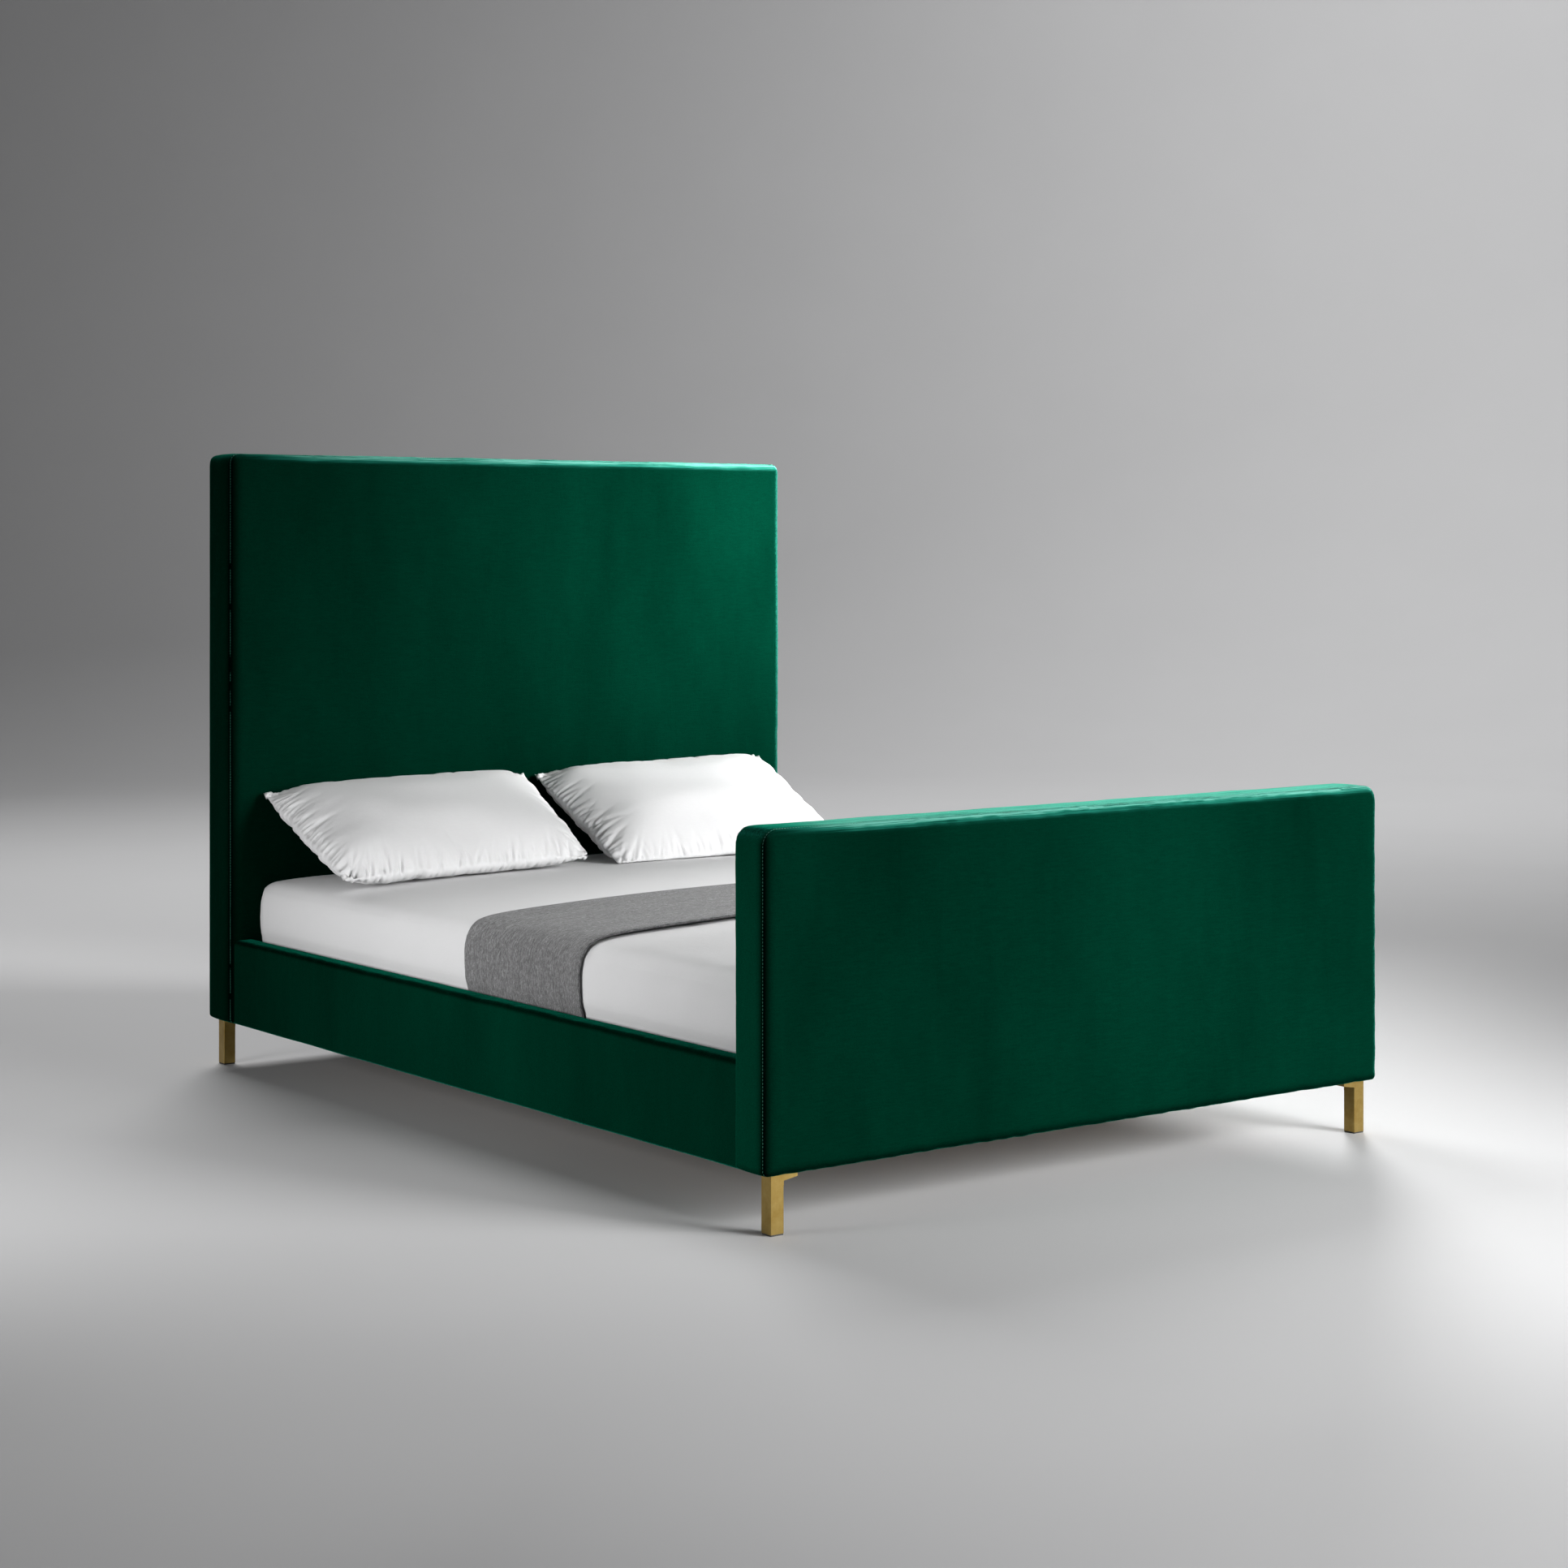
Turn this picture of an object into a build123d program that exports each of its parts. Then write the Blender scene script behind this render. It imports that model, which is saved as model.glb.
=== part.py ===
"""Upholstered headboard bed for a queen mattress, dressed with a fitted sheet, two pillows and a throw.

Millimetres. +X is to the right seen from the foot, +Y towards the headboard, +Z up. The origin is on the
floor, under the middle of the whole bed. Each piece is written to its own STEP file.
"""

from build123d import *
import math
import os

# Overall size
BED_WIDTH = 1650.0
BED_LENGTH = 2294.0
HEADBOARD_HEIGHT = 1492.0
FOOTBOARD_HEIGHT = 751.0
RAIL_HEIGHT = 316.0
UNDERSIDE = 114.0

# Upholstery
VELVET = 2.5
BACK_CLOTH = 1.0
BACK_MARGIN = 45.0
CLOTH_SETBACK = 15.0
HEADBOARD_THICKNESS = 139.0
HEADBOARD_CROWN = 24.0
HEADBOARD_CORNER = 22.0
HEADBOARD_FRONT_EDGE = 20.0
HEADBOARD_BACK_EDGE = 4.0
FOOTBOARD_THICKNESS = 104.0
FOOTBOARD_CROWN = 13.0
FOOTBOARD_CORNER = 26.0
FOOTBOARD_FRONT_EDGE = 12.0
FOOTBOARD_INNER_EDGE = 9.0

# Board frames inside the upholstery
SIDE_FOAM = 8.0
TOP_FOAM = 12.0
INNER_FACE_FOAM = 5.0
STILE_WIDTH = 74.5
TOP_RAIL_HEIGHT = 30.0
MID_RAIL_HEIGHT = 40.0
MID_RAIL_BOTTOM = 760.0
BOTTOM_RAIL_HEIGHT = 100.0
CROSS_RAIL_DEPTH = 45.0
HEADBOARD_TIMBER_DEPTH = 90.0
HEADBOARD_FACE_BOARD = 12.0
FOOTBOARD_TIMBER_DEPTH = 62.0
FOOTBOARD_FACE_BOARD = 6.0
FOOTBOARD_INNER_BOARD = 6.0
FRAME_CORNER_EASE = 20.0

# Side rails
RAIL_OUTER = 820.0
RAIL_INNER = 772.0
RAIL_BOARD = 28.0
RAIL_TOP_FOAM = 10.0
RAIL_OUTER_RADIUS = 14.0
RAIL_INNER_RADIUS = 8.0
RAIL_BOTTOM_RADIUS = 4.0
NOTCH_CLEARANCE = 1.0

# Slatted base
SLAT_COUNT = 11
SLAT_WIDTH = 100.0
SLAT_THICKNESS = 20.0
SLAT_TOP = 236.0
SLAT_END_GAP = 3.0
SLAT_EDGE_RADIUS = 3.0
FIRST_SLAT_Y = -925.0
LAST_SLAT_Y = 905.0
LEDGE_WIDTH = 22.0
LEDGE_HEIGHT = 45.0
LEDGE_END_GAP = 5.0
STRAP_WIDTH = 30.0
STRAP_THICKNESS = 1.5
STRAP_X = 380.0
STRAP_SETBACK = 10.0
BEAM_WIDTH = 40.0
BEAM_HEIGHT = 60.0
BEAM_END_GAP = 1.0

# Steel hardware
STEEL = 4.0
BRACKET_HEIGHT = 100.0
BRACKET_BOTTOM = 126.0
BRACKET_BOARD_FLANGE = 45.0
BRACKET_RAIL_FLANGE = 60.0
BRACKET_HOLE_HEIGHTS = (146.0, 206.0)
BOLT_RADIUS = 4.0
BOLT_HEAD_RADIUS = 7.0
BOLT_HEAD_HEIGHT = 6.0
BOARD_BOLT_LENGTH = 60.0
RAIL_BOLT_LENGTH = 30.0
BOARD_BOLT_X = 748.0
RAIL_BOLT_SETBACK = 38.0
HANGER_HALF_WIDTH = 42.0
HANGER_DEPTH = 50.0
HANGER_BOTTOM = 130.0
HANGER_CHEEK_TOP = 200.0
HANGER_SCREW_X = 33.0
HANGER_SCREW_HEIGHTS = (142.0, 195.0)
SCREW_RADIUS = 2.2
SCREW_HEAD_RADIUS = 4.2
SCREW_HEAD_HEIGHT = 3.0
SCREW_LENGTH = 40.0
LEDGE_SCREW_Y = (-900.0, -450.0, 0.0, 450.0, 890.0)

# Corner legs
LEG_SIZE = 30.0
LEG_WALL = 2.0
LEG_SIDE_INSET = 24.0
LEG_END_INSET = 8.0
LEG_EDGE_RADIUS = 1.2
LEG_TAB_REACH = 32.0
LEG_TAB_TIP = 9.0
LEG_TAB_ROOT = 14.0
LEG_BRACKET_HEIGHT = 24.0
LEG_SPIGOT_GAP = 0.2
LEG_SPIGOT_LENGTH = 20.0
GLIDE_THICKNESS = 3.0
GLIDE_PLUG = 10.0
GLIDE_INSET = 0.5
LEG_SCREW_SPREAD = 5.0
LEG_SCREW_SEAT = 8.0
COUNTERBORE_CLEARANCE = 0.3

# Centre legs
CENTRE_LEG_SIZE = 35.0
CENTRE_LEG_Y = (-370.0, 330.0)
CENTRE_LEG_BOTTOM = 22.0
CENTRE_LEG_PLATE_LENGTH = 78.0
CENTRE_LEG_PLATE_WIDTH = 44.0
CENTRE_LEG_SCREW_SPREAD = 29.0
LEVELLER_FOOT_RADIUS = 20.0
LEVELLER_FOOT_HEIGHT = 8.0
LEVELLER_FOOT_EDGE = 3.0
LEVELLER_ROD_RADIUS = 5.0
LEVELLER_ROD_TOP = 50.0
LEVELLER_CLEARANCE = 0.3
NUT_PLATE = 8.0

# Bedding
MATTRESS_WIDTH = 1524.0
MATTRESS_LENGTH = 2032.0
MATTRESS_TOP = 488.0
MATTRESS_RISE = 30.0
MATTRESS_EDGE = 50.0
MATTRESS_END_EDGE = 60.0
MATTRESS_CORNER = 30.0
SHEET = 2.0
SHEET_HEM = 70.0
THROW = 3.0
THROW_FRONT_Y = -449.0
THROW_BACK_Y = 9.0
THROW_TUCK_BOTTOM = 252.0
PILLOW_WIDTH = 730.0
PILLOW_LENGTH = 470.0
PILLOW_THICKNESS = 160.0
PILLOW_EDGE = 24.0
PILLOW_CROSS_FULLNESS = 8.0
PILLOW_TILT = 22.5
PILLOW_X = 378.0
PILLOW_FRONT_Y = 556.0
PILLOW_FRONT_Z = 499.0
BODY_GAP = 0.6

# Places that follow from the sizes above
HALF_WIDTH = BED_WIDTH / 2
HEAD_BACK = BED_LENGTH / 2
HEAD_VELVET_BACK = HEAD_BACK - BACK_CLOTH
HEAD_FRONT = HEAD_VELVET_BACK - HEADBOARD_THICKNESS
HEAD_SEAM = HEAD_FRONT + HEADBOARD_CROWN
FOOT_FRONT = -BED_LENGTH / 2
FOOT_INNER = FOOT_FRONT + FOOTBOARD_THICKNESS
SLAT_BOTTOM = SLAT_TOP - SLAT_THICKNESS
BEAM_BOTTOM = SLAT_BOTTOM - BEAM_HEIGHT
FRAME_HALF = HALF_WIDTH - VELVET - SIDE_FOAM
FRAME_BOTTOM = UNDERSIDE + VELVET
LEG_X = HALF_WIDTH - LEG_SIDE_INSET - LEG_SIZE / 2
FOOT_LEG_Y = FOOT_FRONT + FOOTBOARD_CROWN + LEG_END_INSET + LEG_SIZE / 2
HEAD_LEG_Y = HEAD_BACK - LEG_END_INSET - LEG_SIZE / 2
MATTRESS_Y = (HEAD_FRONT + FOOT_INNER) / 2
MATTRESS_BOTTOM = SLAT_TOP + BODY_GAP + SHEET

SIDES = {"left": -1, "right": 1}
ENDS = {"head": 1, "foot": -1}


def block(x, y, z):
    """A box from its two limits along each axis, in either order."""
    spans = [abs(b - a) for a, b in (x, y, z)]
    middle = [(a + b) / 2 for a, b in (x, y, z)]
    return Pos(*middle) * Box(*spans)


def along_x(face, x_low, x_high):
    """Extrudes a face drawn in (y, z) from x_low to x_high."""
    plane = Plane(origin=(x_low, 0, 0), x_dir=(0, 1, 0), z_dir=(1, 0, 0))
    return extrude(plane * face, amount=x_high - x_low)


def along_y(face, y_low, y_high):
    """Extrudes a face drawn in (x, z) from y_low to y_high."""
    plane = Plane(origin=(0, y_high, 0), x_dir=(1, 0, 0), z_dir=(0, -1, 0))
    return extrude(plane * face, amount=y_high - y_low)


def rod(start, direction, radius, length):
    """A cylinder from a start point along a direction."""
    plane = Plane(origin=start, z_dir=direction)
    return plane * Cylinder(radius, length, align=(Align.CENTER, Align.CENTER, Align.MIN))


def fastener(seat, direction, radius, length, head_radius, head_height):
    """A headed fastener: the shank runs from its seat along the direction, and the head stands behind."""
    back = [-component for component in direction]
    return rod(seat, direction, radius, length) + rod(seat, back, head_radius, head_height)


def bolt(seat, direction, length):
    return fastener(seat, direction, BOLT_RADIUS, length, BOLT_HEAD_RADIUS, BOLT_HEAD_HEIGHT)


def screw(seat, direction):
    return fastener(seat, direction, SCREW_RADIUS, SCREW_LENGTH, SCREW_HEAD_RADIUS, SCREW_HEAD_HEIGHT)


def cut(part, tools):
    """The part less every tool."""
    return part - list(tools)


def save(name, part):
    """Writes one node. A group of loose solids goes in as one compound."""
    solids = part.solids()
    shape = solids[0] if len(solids) == 1 else Compound(children=list(solids))
    shape.label = name
    export_step(shape, f"parts/{name}.step")


# Fasteners, which every piece they pass through is drilled for


def corner_bolts():
    """The bolts of the four corner brackets: two into the board and two into the rail at each corner."""
    bolts = []
    for side in SIDES.values():
        for height in BRACKET_HOLE_HEIGHTS:
            board_x = side * BOARD_BOLT_X
            rail_x = side * (RAIL_INNER - STEEL)
            head_rail_y = HEAD_SEAM - RAIL_BOLT_SETBACK
            foot_rail_y = FOOT_INNER + RAIL_BOLT_SETBACK
            bolts.append(bolt((board_x, HEAD_SEAM - STEEL, height), (0, 1, 0), BOARD_BOLT_LENGTH))
            bolts.append(bolt((board_x, FOOT_INNER + STEEL, height), (0, -1, 0), BOARD_BOLT_LENGTH))
            bolts.append(bolt((rail_x, head_rail_y, height), (side, 0, 0), RAIL_BOLT_LENGTH))
            bolts.append(bolt((rail_x, foot_rail_y, height), (side, 0, 0), RAIL_BOLT_LENGTH))
    return bolts


def leg_screws():
    """Two screws up through the tab of each corner leg's bracket."""
    tab_x = LEG_X - LEG_SIZE / 2 - LEG_TAB_REACH / 2
    seat_z = UNDERSIDE - LEG_SCREW_SEAT
    return [
        screw((side * tab_x, leg_y + spread, seat_z), (0, 0, 1))
        for side in SIDES.values()
        for leg_y in (FOOT_LEG_Y, HEAD_LEG_Y)
        for spread in (-LEG_SCREW_SPREAD, LEG_SCREW_SPREAD)
    ]


def ledge_screws():
    """The screws that hold each slat ledge to its rail."""
    height = SLAT_BOTTOM - LEDGE_HEIGHT / 2
    return [
        screw((side * (RAIL_INNER - LEDGE_WIDTH), y, height), (side, 0, 0))
        for side in SIDES.values()
        for y in LEDGE_SCREW_Y
    ]


def hanger_screws():
    """The screws that hold the two beam hangers to the headboard and the footboard."""
    screws = []
    for x in (-HANGER_SCREW_X, HANGER_SCREW_X):
        for height in HANGER_SCREW_HEIGHTS:
            screws.append(screw((x, HEAD_SEAM - STEEL, height), (0, 1, 0)))
            screws.append(screw((x, FOOT_INNER + STEEL, height), (0, -1, 0)))
    return screws


def centre_leg_screws():
    """The screws up through the centre legs' top plates into the beam."""
    return [
        screw((0, y + spread, BEAM_BOTTOM - STEEL), (0, 0, 1))
        for y in CENTRE_LEG_Y
        for spread in (-CENTRE_LEG_SCREW_SPREAD, CENTRE_LEG_SCREW_SPREAD)
    ]


# Headboard and footboard


def padded_block(half_width, bottom, top, front, back, corner, front_edge, back_edge):
    """An upholstered board's outer form: rounded corners seen from the front, and softly rounded edges."""
    outline = Pos(0, (bottom + top) / 2) * RectangleRounded(2 * half_width, top - bottom, corner)
    form = along_y(outline, front, back)
    form = fillet(form.edges().group_by(Axis.Y)[0], front_edge)
    return fillet(form.edges().group_by(Axis.Y)[-1], back_edge)


def headboard_form(inset):
    """The headboard's outer form, set in by inset all round."""
    return padded_block(
        HALF_WIDTH - inset,
        UNDERSIDE + inset,
        HEADBOARD_HEIGHT - inset,
        HEAD_FRONT + inset,
        HEAD_VELVET_BACK - inset,
        HEADBOARD_CORNER - inset,
        HEADBOARD_FRONT_EDGE - inset,
        HEADBOARD_BACK_EDGE - inset,
    )


def footboard_form(inset):
    """The footboard's outer form, set in by inset all round."""
    return padded_block(
        HALF_WIDTH - inset,
        UNDERSIDE + inset,
        FOOTBOARD_HEIGHT - inset,
        FOOT_FRONT + inset,
        FOOT_INNER - inset,
        FOOTBOARD_CORNER - inset,
        FOOTBOARD_FRONT_EDGE - inset,
        FOOTBOARD_INNER_EDGE - inset,
    )


def headboard_notches(grow):
    """Where the rails' ends, the corner brackets and the beam hanger press the headboard's crown flat."""
    y = (HEAD_FRONT - HEADBOARD_CROWN, HEAD_SEAM + grow)
    rail_inner = RAIL_INNER - NOTCH_CLEARANCE - grow
    flange_inner = RAIL_INNER - BRACKET_BOARD_FLANGE - NOTCH_CLEARANCE - grow
    hanger = HANGER_HALF_WIDTH + NOTCH_CLEARANCE + grow
    rail_z = (UNDERSIDE - NOTCH_CLEARANCE - grow, RAIL_HEIGHT + NOTCH_CLEARANCE + grow)
    bracket_top = BRACKET_BOTTOM + BRACKET_HEIGHT + NOTCH_CLEARANCE
    bracket_z = (BRACKET_BOTTOM - NOTCH_CLEARANCE - grow, bracket_top + grow)
    notches = [block((-hanger, hanger), y, bracket_z)]
    for side in SIDES.values():
        notches.append(block((side * rail_inner, side * (HALF_WIDTH + HEADBOARD_CROWN)), y, rail_z))
        notches.append(block((side * flange_inner, side * RAIL_INNER), y, bracket_z))
    return notches


def frame_block(top, front, back):
    """The timber frame's envelope, with its bottom corners eased for the upholstery to turn round."""
    eased = FRAME_HALF - FRAME_CORNER_EASE
    outline = Polyline(
        (-FRAME_HALF, top),
        (-FRAME_HALF, FRAME_BOTTOM + FRAME_CORNER_EASE),
        (-eased, FRAME_BOTTOM),
        (eased, FRAME_BOTTOM),
        (FRAME_HALF, FRAME_BOTTOM + FRAME_CORNER_EASE),
        (FRAME_HALF, top),
        close=True,
    )
    return along_y(make_face(outline), front, back)


def layer(envelope, y):
    """The part of a frame's envelope between two depths, such as a face board."""
    return envelope & block((-HALF_WIDTH, HALF_WIDTH), y, (0, HEADBOARD_HEIGHT))


def stile(envelope, side, y):
    """One upright of a board frame, cut from its envelope."""
    reach = (side * (FRAME_HALF - STILE_WIDTH), side * (FRAME_HALF + STILE_WIDTH))
    return envelope & block(reach, y, (0, HEADBOARD_HEIGHT))


def cross_rail(y, z):
    """A horizontal member between a board's two stiles."""
    half = FRAME_HALF - STILE_WIDTH
    return block((-half, half), y, z)


def make_headboard(bolts, screws):
    timber_back = HEAD_VELVET_BACK - VELVET
    timber_front = timber_back - HEADBOARD_TIMBER_DEPTH
    face_front = timber_front - HEADBOARD_FACE_BOARD
    frame_top = HEADBOARD_HEIGHT - VELVET - SIDE_FOAM
    cross_y = (timber_front, timber_front + CROSS_RAIL_DEPTH)
    timber_y = (timber_front, timber_back)
    inner = headboard_form(VELVET)
    envelope = frame_block(frame_top, face_front, timber_back) & inner
    window_half = HALF_WIDTH - BACK_MARGIN
    window_z = (UNDERSIDE + BACK_MARGIN, HEADBOARD_HEIGHT - BACK_MARGIN)
    window = block((-window_half, window_half), (timber_back - 1, HEAD_BACK), window_z)
    lining = cut(inner, headboard_notches(VELVET))
    cover = cut(cut(headboard_form(0), headboard_notches(0)), [lining, window])
    foam = cut(lining, [envelope])
    drilled = bolts + screws
    for name, side in SIDES.items():
        save(f"headboard_stile_{name}", cut(stile(envelope, side, timber_y), drilled))
    save("headboard_top_rail", cross_rail(timber_y, (frame_top - TOP_RAIL_HEIGHT, frame_top)))
    save("headboard_mid_rail", cross_rail(cross_y, (MID_RAIL_BOTTOM, MID_RAIL_BOTTOM + MID_RAIL_HEIGHT)))
    bottom_z = (FRAME_BOTTOM, FRAME_BOTTOM + BOTTOM_RAIL_HEIGHT)
    save("headboard_bottom_rail", cut(cross_rail(cross_y, bottom_z), drilled))
    save("headboard_face_board", cut(layer(envelope, (face_front, timber_front)), drilled))
    save("headboard_foam", cut(foam, drilled))
    save("headboard_cover", cut(cover, drilled))
    cloth_half = HALF_WIDTH - CLOTH_SETBACK
    cloth_z = (UNDERSIDE + CLOTH_SETBACK, HEADBOARD_HEIGHT - CLOTH_SETBACK)
    save("headboard_back_cloth", block((-cloth_half, cloth_half), (HEAD_VELVET_BACK, HEAD_BACK), cloth_z))


def make_footboard(bolts, screws):
    board_back = FOOT_INNER - VELVET - INNER_FACE_FOAM
    timber_back = board_back - FOOTBOARD_INNER_BOARD
    timber_front = timber_back - FOOTBOARD_TIMBER_DEPTH
    face_front = timber_front - FOOTBOARD_FACE_BOARD
    frame_top = FOOTBOARD_HEIGHT - VELVET - TOP_FOAM
    timber_y = (timber_front, timber_back)
    lining = footboard_form(VELVET)
    envelope = frame_block(frame_top, face_front, board_back) & lining
    cover = cut(footboard_form(0), [lining])
    foam = cut(lining, [envelope])
    drilled = bolts + screws
    for name, side in SIDES.items():
        save(f"footboard_stile_{name}", cut(stile(envelope, side, timber_y), drilled))
    save("footboard_top_rail", cross_rail(timber_y, (frame_top - TOP_RAIL_HEIGHT, frame_top)))
    bottom_z = (FRAME_BOTTOM, FRAME_BOTTOM + BOTTOM_RAIL_HEIGHT)
    save("footboard_bottom_rail", cut(cross_rail(timber_y, bottom_z), drilled))
    save("footboard_face_board", layer(envelope, (face_front, timber_front)))
    save("footboard_inner_board", cut(layer(envelope, (timber_back, board_back)), drilled))
    save("footboard_foam", cut(foam, drilled))
    save("footboard_cover", cut(cover, drilled))


# Side rails


def rail_section(inset):
    """The right rail's outline, seen from the foot, set in by inset all round."""
    width = RAIL_OUTER - RAIL_INNER - 2 * inset
    height = RAIL_HEIGHT - UNDERSIDE - 2 * inset
    centre = Pos((RAIL_OUTER + RAIL_INNER) / 2, (RAIL_HEIGHT + UNDERSIDE) / 2)
    section = centre * Rectangle(width, height)
    top = section.vertices().group_by(Axis.Y)[-1].sort_by(Axis.X)
    section = fillet(top[-1], RAIL_OUTER_RADIUS - inset)
    top = section.vertices().group_by(Axis.Y)[-1].sort_by(Axis.X)
    section = fillet(top[0], RAIL_INNER_RADIUS - inset)
    return fillet(section.vertices().group_by(Axis.Y)[0], RAIL_BOTTOM_RADIUS - inset)


def make_side_rails(bolts, screws):
    drilled = bolts + screws
    inner_section = rail_section(VELVET)
    lining = along_y(inner_section, FOOT_INNER, HEAD_SEAM)
    cover = along_y(rail_section(0) - inner_section, FOOT_INNER, HEAD_SEAM)
    board_x = (RAIL_INNER + VELVET, RAIL_INNER + VELVET + RAIL_BOARD)
    board_z = (UNDERSIDE + VELVET, RAIL_HEIGHT - VELVET - RAIL_TOP_FOAM)
    board = lining & block(board_x, (FOOT_INNER, HEAD_SEAM), board_z)
    foam = cut(lining, [board])
    ledge_y = (
        FOOT_INNER + BRACKET_RAIL_FLANGE + LEDGE_END_GAP,
        HEAD_SEAM - BRACKET_RAIL_FLANGE - LEDGE_END_GAP,
    )
    ledge_z = (SLAT_BOTTOM - LEDGE_HEIGHT, SLAT_BOTTOM)
    ledge = block((RAIL_INNER - LEDGE_WIDTH, RAIL_INNER), ledge_y, ledge_z)
    pieces = {"board": board, "foam": foam, "cover": cover}
    for side_name, side in SIDES.items():
        for piece_name, piece in pieces.items():
            placed = piece if side > 0 else mirror(piece, about=Plane.YZ)
            save(f"side_rail_{side_name}_{piece_name}", cut(placed, drilled))
        placed = ledge if side > 0 else mirror(ledge, about=Plane.YZ)
        save(f"slat_ledge_{side_name}", cut(placed, drilled))


# Slatted base and its hardware


def make_slats():
    half = RAIL_INNER - SLAT_END_GAP
    pitch = (LAST_SLAT_Y - FIRST_SLAT_Y) / (SLAT_COUNT - 1)
    for number in range(SLAT_COUNT):
        y = FIRST_SLAT_Y + number * pitch
        slat = block((-half, half), (y - SLAT_WIDTH / 2, y + SLAT_WIDTH / 2), (SLAT_BOTTOM, SLAT_TOP))
        long_edges = slat.edges().filter_by(Axis.X)
        save(f"slat_{number + 1:02d}", fillet(long_edges, SLAT_EDGE_RADIUS))
    reach = SLAT_WIDTH / 2 - STRAP_SETBACK
    strap_y = (FIRST_SLAT_Y - reach, LAST_SLAT_Y + reach)
    straps = [
        block(
            (x - STRAP_WIDTH / 2, x + STRAP_WIDTH / 2),
            strap_y,
            (SLAT_BOTTOM - STRAP_THICKNESS, SLAT_BOTTOM),
        )
        for x in (-STRAP_X, STRAP_X)
    ]
    save("slat_straps", Compound(children=straps))


def make_corner_brackets(bolts):
    """A steel angle in each inside corner: one flange on the board, the other on the rail."""
    z = (BRACKET_BOTTOM, BRACKET_BOTTOM + BRACKET_HEIGHT)
    for end_name, end in ENDS.items():
        face = HEAD_SEAM if end > 0 else FOOT_INNER
        for side_name, side in SIDES.items():
            board_x = (side * (RAIL_INNER - BRACKET_BOARD_FLANGE), side * RAIL_INNER)
            rail_x = (side * (RAIL_INNER - STEEL), side * RAIL_INNER)
            board_flange = block(board_x, (face, face - end * STEEL), z)
            rail_flange = block(rail_x, (face, face - end * BRACKET_RAIL_FLANGE), z)
            save(f"corner_bracket_{end_name}_{side_name}", cut(board_flange + rail_flange, bolts))


def make_beam(screws):
    """The centre beam, and the steel hanger that carries each of its ends."""
    half = BEAM_WIDTH / 2
    beam_y = (FOOT_INNER + STEEL + BEAM_END_GAP, HEAD_SEAM - STEEL - BEAM_END_GAP)
    beam = block((-half, half), beam_y, (BEAM_BOTTOM, SLAT_BOTTOM))
    save("centre_beam", cut(beam, screws))
    hangers = []
    for end in ENDS.values():
        face = HEAD_SEAM if end > 0 else FOOT_INNER
        reach = (face, face - end * HANGER_DEPTH)
        plate_z = (HANGER_BOTTOM, SLAT_BOTTOM)
        hanger = block((-HANGER_HALF_WIDTH, HANGER_HALF_WIDTH), (face, face - end * STEEL), plate_z)
        hanger += block((-half - STEEL, half + STEEL), reach, (BEAM_BOTTOM - STEEL, BEAM_BOTTOM))
        for side in SIDES.values():
            cheek_x = (side * half, side * (half + STEEL))
            hanger += block(cheek_x, reach, (BEAM_BOTTOM - STEEL, HANGER_CHEEK_TOP))
        hangers.append(cut(hanger, screws))
    save("beam_hangers", Compound(children=hangers))


def square_tube(size, wall, z, edge_radius):
    """A square tube standing on the origin's axis, with rounded outer edges."""
    outer = block((-size / 2, size / 2), (-size / 2, size / 2), z)
    outer = fillet(outer.edges().filter_by(Axis.Z), edge_radius)
    inside = size / 2 - wall
    return outer - block((-inside, inside), (-inside, inside), z)


def make_centre_legs(screws):
    """The two centre legs: a plated square tube with a nut plate, and the screw-in levelling foot."""
    plate_z = (BEAM_BOTTOM - STEEL, BEAM_BOTTOM)
    tube = square_tube(CENTRE_LEG_SIZE, LEG_WALL, (CENTRE_LEG_BOTTOM, plate_z[0]), LEG_EDGE_RADIUS)
    half_width = CENTRE_LEG_PLATE_WIDTH / 2
    half_length = CENTRE_LEG_PLATE_LENGTH / 2
    plate = block((-half_width, half_width), (-half_length, half_length), plate_z)
    inside = CENTRE_LEG_SIZE / 2 - LEG_WALL
    nut_z = (CENTRE_LEG_BOTTOM, CENTRE_LEG_BOTTOM + NUT_PLATE)
    nut = block((-inside, inside), (-inside, inside), nut_z)
    hole_start = (0, 0, CENTRE_LEG_BOTTOM - 1)
    hole = rod(hole_start, (0, 0, 1), LEVELLER_ROD_RADIUS + LEVELLER_CLEARANCE, NUT_PLATE + 2)
    leg = tube + plate + (nut - hole)
    foot = rod((0, 0, 0), (0, 0, 1), LEVELLER_FOOT_RADIUS, LEVELLER_FOOT_HEIGHT)
    foot = fillet(foot.edges().group_by(Axis.Z)[-1], LEVELLER_FOOT_EDGE)
    leveller = foot + rod((0, 0, 0), (0, 0, 1), LEVELLER_ROD_RADIUS, LEVELLER_ROD_TOP)
    for name, y in zip(("foot", "head"), CENTRE_LEG_Y):
        save(f"centre_leg_{name}", cut(Pos(0, y, 0) * leg, screws))
        save(f"leveller_{name}", Pos(0, y, 0) * leveller)


# Corner legs


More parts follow.
